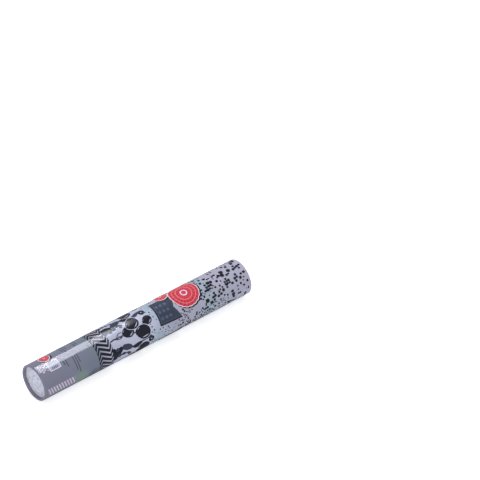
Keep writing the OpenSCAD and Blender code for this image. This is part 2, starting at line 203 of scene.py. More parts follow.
class PopperSizes(bpy.types.PropertyGroup):
    """Sizes of the paper, the print and the small details."""

    tuck_l: length("Tuck", "Depth to which the paper is turned into the tubes", 3.6 * MM)
    rim_fillet: length("Rim rounding", "Rounding of the paper over a rim", 0.9 * MM)
    ink_t: length("Ink", "Thickness of one layer of ink", 0.02 * MM)
    chevron_l: length("Chevron band", "Length of the chevron band from the joint", 20.8 * MM)
    chevron_rise: length("Chevron height", "Height of the chevrons' points", 6.3 * MM)
    chevrons: amount("Chevrons", "Number of chevrons round the tube", 24)
    balloon_l: length("Balloon length", "Length of a balloon", 20.4 * MM)
    balloon_w: length("Balloon width", "Width of a balloon", 15.8 * MM)
    string_w: length("String width", "Width of the balloons' strings", 0.9 * MM)
    streamer_w: length("Streamer width", "Width of a streamer at its widest", 9.6 * MM)
    bunches: amount("Bunches", "Bunches of balloons round the tube", 4)
    pennant_l: length("Pennant length", "Length of a slate pennant", 30 * MM)
    pennant_w: length("Pennant width", "Width of a slate pennant", 29 * MM)
    fan_r: length("Paper fan", "Radius of the largest paper fan", 18.5 * MM)
    fan_pleats: amount("Pleats", "Pleats of a paper fan", 20)
    speckle_small: length("Small speckle", "Middle side of the small squares beside the fan", 2.0 * MM)
    speckle_large: length("Large speckle", "Middle side of the large squares near the muzzle", 3.7 * MM)
    speckles: amount("Speckles", "Number of scattered squares tried", 2600)
    leaves: amount("Leaves", "Foil slips in a bundle", 10)


class PopperColours(bpy.types.PropertyGroup):
    """Colours of the print, the paper and the pieces."""

    grip: colour("Grip paper", "Ground of the grip's paper", linear("747d8e"))
    barrel: colour("Barrel paper", "Ground of the barrel's paper", linear("b0afc0"))
    barrel_pale: colour("Pale ground", "Ground behind the balloons", linear("c1c4d7"))
    black: colour("Black ink", "Ink of the chevrons, balloons and squares", linear("0b0e1f"))
    slate: colour("Slate ink", "Ink of the pennants and the shading", linear("333b4c"))
    red: colour("Red ink", "Ink of the paper fans", linear("d03e54"))
    deep_red: colour("Deep red ink", "Ink of the fans' folds", linear("a8283c"))
    coral: colour("Coral ink", "Ink of the fans' rings", linear("ee7a6c"))
    white: colour("White ink", "Ink of outlines and bare panels", linear("e9e2ec"))
    board: colour("Board", "Cardboard of the tubes and discs", slot_colour("tube_board"))
    silver: colour("Silver foil", "Metal of the foil slips and the closure", linear("dfe2ee"))


class PopperLight(bpy.types.PropertyGroup):
    """Camera and lamps. A lamp's level is the share of white that it gives a surface that faces it."""

    camera_azimuth: bearing("Camera azimuth", "0 looks along +Y", -38.142)
    camera_elevation: bearing("Camera elevation", "Height above the horizon", 37.885)
    camera_roll: bearing("Camera roll", "Turn about the line of sight", -1.362)
    camera_distance: length("Camera distance", "From the point in the middle of the picture", 4.0)
    camera_aim: FloatVectorProperty(
        name="Camera aim",
        description="Point in the middle of the picture",
        default=(0.19402, 0.05396, 0.02235),
        unit="LENGTH",
    )
    focal_mm: FloatProperty(name="Focal length", description="Lens of a 36 mm frame, in mm", default=251.714)
    key_level: brightness("Key", "Level of the overhead strip softbox", 0.52)
    fill_level: brightness("Fill", "Level of the softbox beyond the base", 0.46)
    room_level: brightness("Room", "Level of the light from all round", 0.39)


class PopperSettings(bpy.types.PropertyGroup):
    """All settings of the popper."""

    sizes: PointerProperty(type=PopperSizes, name="Sizes", description="Sizes of the details")
    colours: PointerProperty(type=PopperColours, name="Colours", description="Colours of the pieces")
    light: PointerProperty(type=PopperLight, name="Light", description="Camera and lamps")


# Materials


class Recipe:
    """One procedural material: a Principled shader and the nodes that feed it."""

    def __init__(self, name, **constants):
        self.material = bpy.data.materials.new(name)
        self.material.use_nodes = True
        self.tree = self.material.node_tree
        self.shader = self.tree.nodes["Principled BSDF"]
        for socket, value in constants.items():
            self.shader.inputs[socket.replace("_", " ")].default_value = value
        self.place = self.node("ShaderNodeTexCoord").outputs["Object"]
        self.normal = None

    def node(self, kind, inputs=(), **settings):
        """A node with its settings, and its inputs as pairs of a socket and a value or an output."""
        made = self.tree.nodes.new(kind)
        for name, value in settings.items():
            setattr(made, name, value)
        for socket, value in inputs:
            if isinstance(value, bpy.types.NodeSocket):
                self.tree.links.new(value, made.inputs[socket])
            else:
                made.inputs[socket].default_value = value
        return made

    def feed(self, socket, output):
        self.tree.links.new(output, self.shader.inputs[socket])

    def calc(self, operation, first, second=0.0):
        """A number worked out from one or two others."""
        return self.node("ShaderNodeMath", [(0, first), (1, second)], operation=operation).outputs[0]

    def grain(self, scale, detail=3.0, stretch=(1, 1, 1), roughness=0.5):
        """Noise with so many features in a metre, stretched along some axes."""
        spread = self.node("ShaderNodeMapping", [("Vector", self.place), ("Scale", stretch)])
        look = [("Scale", scale), ("Detail", detail), ("Roughness", roughness)]
        return self.node("ShaderNodeTexNoise", [("Vector", spread.outputs[0]), *look]).outputs["Fac"]

    def cells(self, scale):
        """Distance to the middle of the nearest cell, of so many cells in a metre."""
        inputs = [("Vector", self.place), ("Scale", scale)]
        return self.node("ShaderNodeTexVoronoi", inputs).outputs["Distance"]

    def ramp(self, factor, stops):
        """Colours at shares of a factor, each stop a share and a colour."""
        made = self.node("ShaderNodeValToRGB", [("Fac", factor)])
        points = made.color_ramp.elements
        while len(points) < len(stops):
            points.new(1.0)
        for point, (share, shade) in zip(points, stops):
            point.position = share
            point.color = (*shade, 1.0)
        return made.outputs["Color"]

    def level(self, factor, before, after=(0.0, 1.0)):
        """A factor moved from between two values to between two others, and held there."""
        inputs = [("Value", factor), *enumerate((*before, *after), 1)]
        return self.node("ShaderNodeMapRange", inputs).outputs[0]

    def blend(self, factor, first, second):
        """A mix of two colours, each an output or three numbers."""
        ends = [end if isinstance(end, bpy.types.NodeSocket) else (*end, 1.0) for end in (first, second)]
        return self.node("ShaderNodeMix", zip((0, 6, 7), (factor, *ends)), data_type="RGBA").outputs[2]

    def clouded(self, ground, colour_code, cloud, before, cover, within=None):
        """A ground with clouds of a colour, where a cloud noise lies between two values, up to a cover."""
        share = self.level(cloud, before, (0.0, cover))
        if within:
            share = self.calc("MULTIPLY", within, share)
        return self.blend(share, ground, linear(colour_code))

    def bump(self, height, depth, strength=1.0):
        """Relief of a depth in metres, on top of what is there."""
        inputs = [("Height", height), ("Distance", depth), ("Strength", strength)]
        if self.normal:
            inputs.append(("Normal", self.normal))
        self.normal = self.node("ShaderNodeBump", inputs).outputs[0]
        self.feed("Normal", self.normal)

    def soft_edges(self, radius):
        """Edges that catch the light as if they were rounded."""
        self.normal = self.node("ShaderNodeBevel", [("Radius", radius)], samples=4).outputs[0]
        self.feed("Normal", self.normal)

    def axes(self):
        return self.node("ShaderNodeSeparateXYZ", [("Vector", self.place)]).outputs

    def station(self):
        """The station of a point of the tube."""
        return self.calc("SUBTRACT", self.axes()["X"], BASE_X)

    def off_axis(self):
        """How far a point lies from the tube's axis to the side and upwards."""
        axes = self.axes()
        return axes["Y"], self.calc("SUBTRACT", axes["Z"], AXIS_Z)

    def toward(self, degrees):
        """How far a point lies from the axis towards an angle, as a share of the paper's radius."""
        side, up = self.off_axis()
        angle = math.radians(degrees)
        side_share = self.calc("MULTIPLY", side, math.cos(angle) / PAPER_R)
        return self.calc("ADD", side_share, self.calc("MULTIPLY", up, math.sin(angle) / PAPER_R))

    def beside(self, station, reach):
        """1 round a station, and 0 from a reach on either side of it."""
        off = self.calc("ABSOLUTE", self.calc("SUBTRACT", self.station(), station))
        return self.level(off, (reach, 0.3 * reach))

    def to_ply_edge(self):
        """Share of a turn to the nearest edge of the board's spiral plies."""
        side, up = self.off_axis()
        turns = self.calc("DIVIDE", self.calc("ARCTAN2", up, side), TURN)
        along = self.calc("DIVIDE", self.station(), PLY_PITCH)
        return self.calc("PINGPONG", self.calc("FRACT", self.calc("ADD", along, turns)), 0.5)


def laminate(recipe):
    """Glossy film over the print: soft waves, the plies of the board below, fine scuffs."""
    recipe.bump(recipe.grain(45, 1.5), depth=0.16 * MM)
    recipe.bump(recipe.level(recipe.to_ply_edge(), (0.0, 0.02)), depth=0.012 * MM)
    recipe.feed("Roughness", recipe.level(recipe.grain(900, 4), (0.35, 0.7), (0.34, 0.44)))
    recipe.feed("Coat Normal", recipe.normal)


def worn_rim(recipe, ground, rim_s, white):
    """The paper's white core where the print has rubbed off at a rim."""
    patches = recipe.level(recipe.grain(700, 5), (0.55, 0.75), (0.0, 0.28))
    near = recipe.beside(rim_s, reach=0.9 * MM)
    return recipe.blend(recipe.calc("MULTIPLY", near, patches), ground, white)


def barrel_paper(colours):
    """Lavender ground with a pale stretch behind the balloons and faint tints."""
    recipe = Recipe("barrel_paper", **FILM)
    pale = colours.barrel_pale
    far = colours.barrel
    stops = [(0.257, colours.grip), (0.3, far), (0.335, pale), (0.52, pale), (0.615, far), (1.0, far)]
    ground = recipe.ramp(recipe.calc("DIVIDE", recipe.station(), TOTAL_L), stops)
    ground = recipe.clouded(ground, "93b0b8", recipe.grain(26, 2), (0.48, 0.68), 0.2)
    for station, reach in ((167, 18), (239, 14)):
        near = recipe.beside(station * MM, reach * MM)
        ground = recipe.clouded(ground, "98b6bd", recipe.grain(48, 2), (0.35, 0.6), 0.6, near)
    ground = recipe.clouded(ground, "b9a3b4", recipe.grain(33, 2, (1, 1.3, 1.3)), (0.52, 0.72), 0.25)
    ground = recipe.clouded(ground, "8d8ea6", recipe.grain(60, 4, (0.6, 1.6, 1.6)), (0.5, 0.8), 0.4)
    recipe.feed("Base Color", worn_rim(recipe, ground, TOTAL_L, colours.white))
    laminate(recipe)
    return recipe.material


def grip_paper(colours):
    """Blue-grey ground with faint green and violet clouds, a green printed patch on its low side, and
    painted shade: a dark patch on its low side by the joint.
    """
    recipe = Recipe("grip_paper", **FILM)
    base_tints = [(0.0, linear("7f7f8f")), (0.55, linear("7c7e90"))]
    joint_tints = [(0.85, colours.grip), (1.0, linear("707e88"))]
    ground = recipe.ramp(recipe.calc("DIVIDE", recipe.station(), GRIP_L), base_tints + joint_tints)
    ground = recipe.clouded(ground, "78857f", recipe.grain(30, 2), (0.48, 0.7), 0.5)
    ground = recipe.clouded(ground, "80788f", recipe.grain(24, 2, (1.2, 1, 1)), (0.5, 0.72), 0.5)
    # The green patch is a tint of the print; the dark one near the joint is painted shade on the low side.
    for station, reach, degrees, colour_code in ((51, 13, 193, "7f9f80"), (70, 9, 209, "3a3f4c")):
        near = recipe.beside(station * MM, reach * MM)
        ground = recipe.clouded(ground, colour_code, recipe.toward(degrees), (0.88, 1.0), 0.6, near)
    recipe.feed("Base Color", worn_rim(recipe, ground, 0.0, colours.white))
    laminate(recipe)
    return recipe.material


def ink(name, shade, mottle=0.5):
    """Printed ink under the same film as the paper, a little uneven in its cover."""
    recipe = Recipe(name, **FILM)
    thin = recipe.level(recipe.grain(240, 5), (0.4, 0.75), (0.0, mottle))
    recipe.feed("Base Color", recipe.blend(thin, shade, toned(shade, 1.25, 0.002)))
    laminate(recipe)
    return recipe.material


def board(name, shade, wound=True):
    """Cardboard with fibres and flecks, flat or wound from plies."""
    recipe = Recipe(name, Roughness=0.85, Specular_IOR_Level=0.25)
    fibres = recipe.grain(1400, 6, (0.25, 1, 1), 0.7)
    flecks = recipe.level(recipe.grain(2600, 3), (0.66, 0.72), (0.0, 0.5))
    body = recipe.ramp(fibres, [(0.3, toned(shade, 0.78)), (0.7, toned(shade, 1.12))])
    body = recipe.blend(flecks, body, toned(shade, 0.45))
    recipe.soft_edges(radius=0.15 * MM)
    recipe.bump(fibres, depth=0.05 * MM)
    if wound:
        body = add_plies(recipe, body, toned(shade, 0.35))
    recipe.feed("Base Color", body)
    return recipe.material


def add_plies(recipe, body, gap_shade):
    """The dark gaps between spiral plies, and the board darker beside the joint: ink on it, and painted
    shade in the narrow gap there.
    """
    gap = recipe.level(recipe.to_ply_edge(), (0.0, 0.006), (1.0, 0.0))
    body = recipe.blend(recipe.calc("MULTIPLY", gap, 0.6), body, gap_shade)
    recipe.bump(gap, depth=0.12 * MM, strength=-1.0)
    joint_s = (GRIP_L + BARREL_S) / 2
    from_joint = recipe.calc("ABSOLUTE", recipe.calc("SUBTRACT", recipe.station(), joint_s))
    # Ink on the board, and painted shade in the narrow gap between the two papers.
    ink_and_gap_shade = recipe.level(from_joint, (0.3 * MM, 1.2 * MM), (0.85, 0.0))
    return recipe.blend(ink_and_gap_shade, body, linear("3a3d44"))


def plastic(name, shade, roughness=0.38, clear=0.0):
    """Moulded plastic with faint flow streaks, a fine spark-eroded grain and soft edges."""
    recipe = Recipe(name, Specular_IOR_Level=0.5, Subsurface_Weight=clear, Subsurface_Scale=1.5 * MM)
    streaks = recipe.grain(160, 4, (0.4, 1, 1))
    recipe.feed("Base Color", recipe.ramp(streaks, [(0.3, toned(shade, 0.86)), (0.62, toned(shade, 1.05))]))
    grain = recipe.grain(2400, 2)
    recipe.feed("Roughness", recipe.level(grain, (0.3, 0.7), (roughness - 0.06, roughness + 0.08)))
    recipe.soft_edges(radius=0.2 * MM)
    recipe.bump(grain, depth=0.012 * MM)
    return recipe.material


def plug_plastic(name, shade):
    """Thin white plastic that is a little cloudy, with painted shade: darker concentric rings across its
    face.
    """
    recipe = Recipe(name, Specular_IOR_Level=0.5, Subsurface_Weight=0.15, Subsurface_Scale=1.0 * MM)
    clouds = recipe.level(recipe.grain(260, 5), (0.36, 0.66))
    body = recipe.blend(clouds, toned(shade, 0.66), shade)
    # Painted shade: darker rings round the axis.
    squares = [recipe.calc("POWER", off, 2.0) for off in recipe.off_axis()]
    out = recipe.calc("SQRT", recipe.calc("ADD", *squares))
    rings = recipe.level(recipe.calc("PINGPONG", out, 1.8 * MM), (0.2 * MM, 1.3 * MM), (0.32, 0.0))
    recipe.feed("Base Color", recipe.blend(rings, body, toned(shade, 0.5)))
    recipe.feed("Roughness", recipe.level(recipe.grain(900, 3), (0.3, 0.7), (0.26, 0.42)))
    recipe.soft_edges(radius=0.2 * MM)
    recipe.bump(clouds, depth=0.1 * MM)
    return recipe.material


def turned_metal(name, shade):
    """Drawn aluminium with fine rings round the axis and a few scratches along it."""
    recipe = Recipe(name, Metallic=1.0)
    rings = recipe.grain(3000, 4, (1, 0.06, 0.06))
    recipe.feed("Base Color", recipe.ramp(recipe.grain(90, 4), [(0.3, toned(shade, 0.84)), (0.7, shade)]))
    recipe.feed("Roughness", recipe.level(rings, (0.3, 0.7), (0.24, 0.4)))
    recipe.soft_edges(radius=0.15 * MM)
    recipe.bump(rings, depth=0.01 * MM)
    recipe.bump(recipe.level(recipe.grain(700, 2, (0.05, 1, 1)), (0.7, 0.75)), depth=0.006 * MM)
    return recipe.material


def rubber(name, shade):
    """Black rubber with a dull bloom and moulding grain."""
    recipe = Recipe(name, Roughness=0.72, Specular_IOR_Level=0.35)
    bloom = recipe.level(recipe.grain(300, 5), (0.45, 0.75), (0.0, 0.6))
    recipe.feed("Base Color", recipe.blend(bloom, shade, toned(shade, 2.2, 0.02)))
    recipe.soft_edges(radius=0.1 * MM)
    recipe.bump(recipe.grain(3500, 2), depth=0.015 * MM)
    return recipe.material


def foam(name, shade):
    """Closed-cell foam: small cells, with painted shade that darkens the pores on the cut faces."""
    recipe = Recipe(name, Roughness=0.95, Specular_IOR_Level=0.2)
    cells = recipe.cells(1500)
    # Painted shade: the middles of the cells, the pores, are darker.
    pore_shade = recipe.ramp(cells, [(0.1, toned(shade, 0.45)), (0.5, shade)])
    tone = recipe.level(recipe.grain(220, 4), (0.35, 0.7), (0.0, 0.3))
    recipe.feed("Base Color", recipe.blend(tone, pore_shade, toned(shade, 1.2)))
    recipe.bump(recipe.level(cells, (0.1, 0.6)), depth=0.18 * MM)
    return recipe.material


def slip_foil(silver):
    """Metallised film: each slip a little bluer, warmer or paler than the next, with soft creases."""
    recipe = Recipe("slip_foil", Metallic=0.92, Coat_Weight=0.3, Coat_Roughness=0.1)
    per_slip = recipe.node("ShaderNodeNewGeometry").outputs["Random Per Island"]
    tints = ((0.3, "c3cde6"), (0.55, "eceef8"), (0.78, "d9cfc4"))
    stops = [(0.0, silver), *((share, linear(colour_code)) for share, colour_code in tints), (1.0, silver)]
    recipe.feed("Base Color", recipe.ramp(per_slip, stops))
    recipe.feed("Roughness", recipe.level(recipe.grain(500, 3), (0.35, 0.7), (0.16, 0.34)))
    recipe.bump(recipe.grain(110, 2, (0.4, 1, 1)), depth=0.1 * MM)
    return recipe.material


def crinkled_foil(silver):
    """Crinkled silver foil with painted reflections and shade: each facet painted lighter or darker by the
    way that it faces.
    """
    recipe = Recipe("crinkled_foil", Metallic=1.0)
    # Painted reflection and shade: each facet's colour follows which way it faces.
    normal = recipe.node("ShaderNodeNewGeometry").outputs["True Normal"]
    tilt = recipe.node("ShaderNodeSeparateXYZ", [("Vector", normal)]).outputs
    painted_facet_light = recipe.calc("ADD", recipe.calc("MULTIPLY", tilt["Y"], 0.6), tilt["Z"])
    painted_facet_light = recipe.calc("ADD", painted_facet_light, recipe.level(recipe.grain(150, 3), (0.3, 0.7), (-0.08, 0.08)))
    painted_facet_tones = ((0.0, 0.3), (0.45, 0.62), (0.62, 1.0), (1.0, 0.55))
    stops = [(share, toned(silver, tone)) for share, tone in painted_facet_tones]
    recipe.feed("Base Color", recipe.ramp(recipe.level(painted_facet_light, (-0.25, 0.25)), stops))
    recipe.feed("Roughness", recipe.level(recipe.grain(260, 4), (0.3, 0.7), (0.16, 0.3)))
    recipe.bump(recipe.grain(700, 3), depth=0.03 * MM)
    return recipe.material


# Shapes


def place(station, angle, radius):
    """The point at a station, an angle and a radius of the tube."""
    return Vector((BASE_X + station, radius * math.cos(angle), AXIS_Z + radius * math.sin(angle)))


def even_angles(count):
    """So many angles, evenly round the tube."""
    return [TURN * i / count for i in range(count)]


def seam_lift(angle):
    """How far the paper stands up at an angle, where its edge overlaps."""
    past = (angle - SEAM_ANGLE) % TURN * PAPER_R
    step = SEAM_STEP * PAPER_R
    if past < step:
        return PAPER_T * past / step
    if past < SEAM_OVERLAP:
        return PAPER_T
    fall = min(1.0, (past - SEAM_OVERLAP) / SEAM_FALL)
    return PAPER_T * (1 - fall * fall * (3 - 2 * fall))


def facet_angles():
    """Angles of the paper's edges between facets, with one more for the step of its overlap."""
    return sorted({*even_angles(FACETS), SEAM_ANGLE, SEAM_ANGLE + SEAM_STEP})


def rounded(corners):
    """An outline with rounded corners. Each corner is a point and the length that its rounding takes."""
    outline = []
    for i, (x, y, fillet) in enumerate(corners):
        corner = Vector((x, y))
        if not fillet:
            outline.append(corner)
            continue
        before = Vector(corners[i - 1][:2])
        after = Vector(corners[(i + 1) % len(corners)][:2])
        start = corner + (before - corner).normalized() * fillet
        end = corner + (after - corner).normalized() * fillet
        for step in range(EDGE_STEPS + 1):
            t = step / EDGE_STEPS
            outline.append(start * (1 - t) ** 2 + corner * 2 * t * (1 - t) + end * t * t)
    return [(p.x, p.y) for p in outline]


def lathe(profile, angles, shape=None):
    """Points and faces of a closed profile of (station, radius) turned round the tube's axis."""
    points = []
    for angle in angles:
        for station, radius in profile:
            if shape:
                station, radius = shape(station, radius, angle)
            points.append(place(station, angle, radius))
    count = len(profile)
    faces = []
    for i in range(len(angles)):
        here = i * count
        there = (i + 1) % len(angles) * count
        for k in range(count):
            following = (k + 1) % count
            faces.append((here + k, here + following, there + following, there + k))
    return points, faces


def add_piece(name, points, faces, material, body, smooth=40):
    """A closed mesh as a piece that rides on a body, its edges sharp from so many degrees."""
    shape = bmesh.new()
    corners = [shape.verts.new(p) for p in points]
    for face in faces:
        shape.faces.new([corners[i] for i in face])
    bmesh.ops.remove_doubles(shape, verts=shape.verts, dist=WELD)
    bmesh.ops.recalc_face_normals(shape, faces=shape.faces)
    mesh = bpy.data.meshes.new(name)
    shape.to_mesh(mesh)
    shape.free()
    mesh.shade_smooth()
    mesh.set_sharp_from_angle(angle=math.radians(smooth))
    return set_piece(name, mesh, material, body)


def set_piece(name, mesh, material, body):
    """Puts a mesh into the scene as a piece on a body."""
    mesh.materials.append(material)
    piece = bpy.data.objects.new(name, mesh)
    bpy.context.scene.collection.objects.link(piece)
    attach(piece, body)
    return piece


def finish_nodes(material, *nodes):
    """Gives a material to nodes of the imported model."""
    for name in nodes:
        materials = frame["nodes"][name].data.materials
        materials.clear()
        materials.append(material)


# The print's flat shapes


def lay_ink(name, shapes, material, body):
    """Ink laid round the tube, its edges sunk in. A shape is its layer and its outline with any holes."""
    ink_t = bpy.context.scene.popper.sizes.ink_t
    points = []
    faces = []
    tops = []
    for number, (layer, loops) in enumerate(shapes):
        part = cut_to_facets(loops)
        height = ink_t * (layer + number % STAGGERS * STAGGER)
        start = len(points)
        for corner in part.verts:
            station, across, _ = corner.co
            angle = across / PAPER_R
            ground = PAPER_R + seam_lift(angle)
            points.append(place(station, angle, ground + height))
            points.append(place(station, angle, ground - ink_t))
        for face in part.faces:
            corners = [start + 2 * corner.index for corner in face.verts]
            faces.append(corners[::-1])
            faces.append([i + 1 for i in corners])
            tops += [True, False]
        for edge in part.edges:
            if edge.is_boundary:
                side = edge.link_loops[0]
                first = start + 2 * side.vert.index
                second = start + 2 * side.link_loop_next.vert.index
                faces.append((second, second + 1, first + 1, first))
                tops.append(False)
        part.free()
    mesh = bpy.data.meshes.new(name)
    mesh.from_pydata(points, [], faces)
    mesh.shade_smooth()
    round_off(mesh, tops)
    return set_piece(name, mesh, material, body)


def round_off(mesh, tops):
    """Shades the top faces of some ink as round as the tube, and the others flat."""
    normals = []
    for polygon, top in zip(mesh.polygons, tops):
        for index in polygon.vertices:
            _, y, z = mesh.vertices[index].co
            normals.append(Vector((0, y, z - AXIS_Z)).normalized() if top else polygon.normal)
    mesh.normals_split_custom_set(normals)


def lay_inks(prints, body, mottle=0.5):
    """Prints sets of flat shapes, each with its name, its layer, its shapes and its colour."""
    for name, layer, shapes, shade in prints:
        lay_ink(name, [(layer, loops) for loops in shapes], ink(f"{name}_ink", shade, mottle), body)


def cut_to_facets(loops):
    """A flat shape as triangles, cut where the paper's facets meet."""
    part = bmesh.new()
    flat = [[Vector((x, y, 0)) for x, y in loop] for loop in loops]
    corners = [part.verts.new(p) for loop in flat for p in loop]
    for triangle in tessellate_polygon(flat):
        part.faces.new([corners[i] for i in triangle])
    low = min(y for loop in loops for _, y in loop)
    high = max(y for loop in loops for _, y in loop)
    for line in facet_lines(low, high):
        everything = part.verts[:] + part.edges[:] + part.faces[:]
        cut = {"plane_co": (0, line, 0), "plane_no": (0, 1, 0), "dist": WELD / 2}
        bmesh.ops.bisect_plane(part, geom=everything, **cut)
    bmesh.ops.remove_doubles(part, verts=part.verts, dist=WELD)
    for face in part.faces:
        face.normal_update()
        if face.normal.z < 0:
            face.normal_flip()
    part.verts.index_update()
    return part


def facet_lines(low, high):
    """Distances round the paper, between two of them, at which its facets meet."""
    first_turn = math.floor(low / PAPER_ROUND)
    last_turn = math.floor(high / PAPER_ROUND)
    for turn in range(first_turn, last_turn + 1):
        for angle in facet_angles():
            line = turn * PAPER_ROUND + angle * PAPER_R
            if low < line < high:
                yield line


def flat_spot(station, degrees):
    """The flat point at a station in mm and an angle in degrees."""
    return (station * MM, math.radians(degrees) * PAPER_R)


def turned(outline, centre, tilt=0.0):
    """A flat outline turned by a tilt and moved to a centre."""
    spin = Matrix.Rotation(tilt, 2)
    moved = [spin @ Vector(p) for p in outline]
    return [(p.x + centre[0], p.y + centre[1]) for p in moved]


def ring_of(count, radius_at):
    """A closed outline whose radius is given at each angle."""
    return [(radius_at(a) * math.cos(a), radius_at(a) * math.sin(a)) for a in even_angles(count)]


def soft_square(width, height, corner_share=0.22):
    """A rectangle with cut corners."""
    x = width / 2
    y = height / 2
    cut = corner_share * min(width, height)
    right = [(x - cut, -y), (x, cut - y), (x, y - cut), (x - cut, y)]
    return right + [(-across, -along) for across, along in right]


def ribbon(centres, widths):
    """The outline of a ribbon along a centre line, with a width at each of its points."""
    left = []
    right = []
    for i, (centre, width) in enumerate(zip(centres, widths)):
        before = Vector(centres[max(i - 1, 0)])
        after = Vector(centres[min(i + 1, len(centres) - 1)])
        along = (after - before).normalized()
        side = Vector((-along.y, along.x)) * width / 2
        left.append(tuple(Vector(centre) + side))
        right.append(tuple(Vector(centre) - side))
    return left + right[::-1]


def zigzag(band_l, rise, width, base):
    """One chevron across the band: steeply down, slowly up and steeply down again."""
    stops = [(0.0, 0.0), (0.21, -1.0), (0.79, 0.15), (1.0, -0.95)]
    upper = [(BARREL_S + share * band_l, base + height * rise + width / 2) for share, height in stops]
    lower = [(x, y - width) for x, y in upper]
    return upper + lower[::-1]


def balloon_outline(long, wide):
    """A balloon that points along the tube, with its neck at the lower station."""
    outline = []
    for angle in even_angles(36):
        narrowing = 1 + 0.2 * math.cos(angle) - 0.06 * math.cos(2 * angle)
        outline.append((long / 2 * math.cos(angle), wide / 2 * math.sin(angle) * narrowing))
    return outline


def balloon_knot(long):
    """The little flared knot under a balloon."""
    neck = -long / 2
    flare = 0.09 * long
    notch = neck - 0.8 * flare
    return [(neck + flare / 3, 0), (neck - flare, 0.8 * flare), (notch, 0), (neck - flare, -0.8 * flare)]


def crescent(long, wide, start, end, thickness_share):
    """A curved gleam inside a balloon's edge, between two angles in degrees."""
    steps = 12
    edge = 0.8
    outer = []
    inner = []
    for i in range(steps + 1):
        share = i / steps
        angle = math.radians(start + (end - start) * share)
        depth = edge - thickness_share * math.sin(math.pi * share)
        for side, scale in ((outer, edge), (inner, depth)):
            side.append((long / 2 * scale * math.cos(angle), wide / 2 * scale * math.sin(angle)))
    return outer + inner[-2:0:-1]


def string_line(start, end, sway, phase):
    """A balloon's string from one flat point to another, swaying a little."""
    steps = 26
    line = []
    for i in range(steps + 1):
        share = i / steps
        ease = share * share * (3 - 2 * share)
        wave = sway * math.sin(math.pi * share) * math.sin(2.2 * TURN * share + phase)
        line.append((start[0] + (end[0] - start[0]) * share, start[1] + (end[1] - start[1]) * ease + wave))
    return line


def streamer_line(root, reach, sway, phase, curl_r):
    """A streamer's centre line: waves along the tube that end in a curl."""
    steps = 60
    wave_l = 34 * MM
    line = []
    for i in range(steps + 1):
        share = i / steps
        wave = math.sin(reach / wave_l * TURN * share + phase) - math.sin(phase) * (1 - share)
        line.append((root[0] + reach * share, root[1] + sway * wave))
    tip = Vector(line[-1])
    heading = (tip - Vector(line[-2])).normalized()
    side = Vector((-heading.y, heading.x))
    centre = tip + side * curl_r
    curl_steps = 18
    curl_turns = 1.35
    for i in range(1, curl_steps + 1):
        share = i / curl_steps
        angle = share * curl_turns * TURN
        radius = curl_r * (1 - 0.62 * share)
        line.append(tuple(centre + heading * radius * math.sin(angle) - side * radius * math.cos(angle)))
    return line


def pennant_outline(long, wide):
    """A swallow-tailed pennant with a notch in its far end."""
    x = long / 2
    y = wide / 2
    notch = 0.22 * long
    return [(-x, -y), (x, -y), (x - notch, 0), (x, y), (-x, y)]


def frame_line(outline, inset, width):
    """A thin line inside an outline that is centred on its middle: an outer and an inner loop."""
    reach = max(abs(y) for _, y in outline)
    scales = (1 - inset / reach, 1 - (inset + width) / reach)
    return [[(x * scale, y * scale) for x, y in outline] for scale in scales]


def star_outline(radius, points=5):
    """A plain star."""
    tips = []
    for i, angle in enumerate(even_angles(2 * points)):
        reach = radius if i % 2 == 0 else radius * 0.42
        tips.append((reach * math.cos(angle), reach * math.sin(angle)))
    return tips


def fan_shapes(sizes, centre, radius, tilt):
    """The flat shapes of one paper fan, by the ink that prints them."""
    pleats = sizes.fan_pleats if radius > sizes.fan_r / 2 else sizes.fan_pleats // 2
    scallop = 0.035

    def scalloped(reach, middle=centre):
        def radius_at(angle):
            return reach * (1 - scallop + scallop * abs(math.cos(angle * pleats / 2)))

        return turned(ring_of(8 * pleats, radius_at), middle, tilt)

    def circle(share, count=72):
        return turned(ring_of(count, lambda angle: share * radius), centre, tilt)

    folds = []
    for i in range(pleats):
        start = TURN * (i + 0.5) / pleats
        half = TURN * 0.25 / pleats
        outer = 0.94 * radius
        corners = [(0.2 * radius, start), (outer, start - half * 0.1), (outer, start + half * 1.2)]
        folds.append([turned([(r * math.cos(a), r * math.sin(a)) for r, a in corners], centre, tilt)])
    rim = 0.9 * MM
    shadow = 1.7 * MM
    return {
        "shadow": [[scalloped(radius + shadow, (centre[0] + rim, centre[1] + rim))]],
        "rim": [[scalloped(radius + rim)]],
        "body": [[scalloped(radius)]],
        "folds": folds,
        "rings": [[circle(outer), circle(inner)] for outer, inner in ((0.8, 0.75), (0.56, 0.5))],
        "hub": [[circle(0.24, 48)]],
        "heart": [[circle(0.17, 40)]],
    }


def fan_places(sizes):
    """Centre and radius of each paper fan."""
    return [(flat_spot(station, degrees), share * sizes.fan_r) for station, degrees, share in FANS]


def pennant_places():
    """Centre and tilt of each pennant."""
    return [(flat_spot(station, degrees), math.radians(tilt)) for station, degrees, tilt in PENNANTS]


def apart(first, second):
    """The distance between two flat points, the shorter way round the tube."""
    across = abs(first[1] - second[1]) % PAPER_ROUND
    return math.hypot(first[0] - second[0], min(across, PAPER_ROUND - across))


# Pieces


class POPPER_OT_stage(bpy.types.Operator):
    """Camera, lamps, white surroundings and the table"""

    bl_idname = "popper.stage"
    bl_label = "Stage"

    def execute(self, context):
        light = context.scene.popper.light
        add_camera(light)
        add_softbox("overhead_softbox", *KEY_BOX, light.key_level)
        add_softbox("base_softbox", *FILL_BOX, light.fill_level)
        add_room(light.room_level)
        add_table()
        return {"FINISHED"}


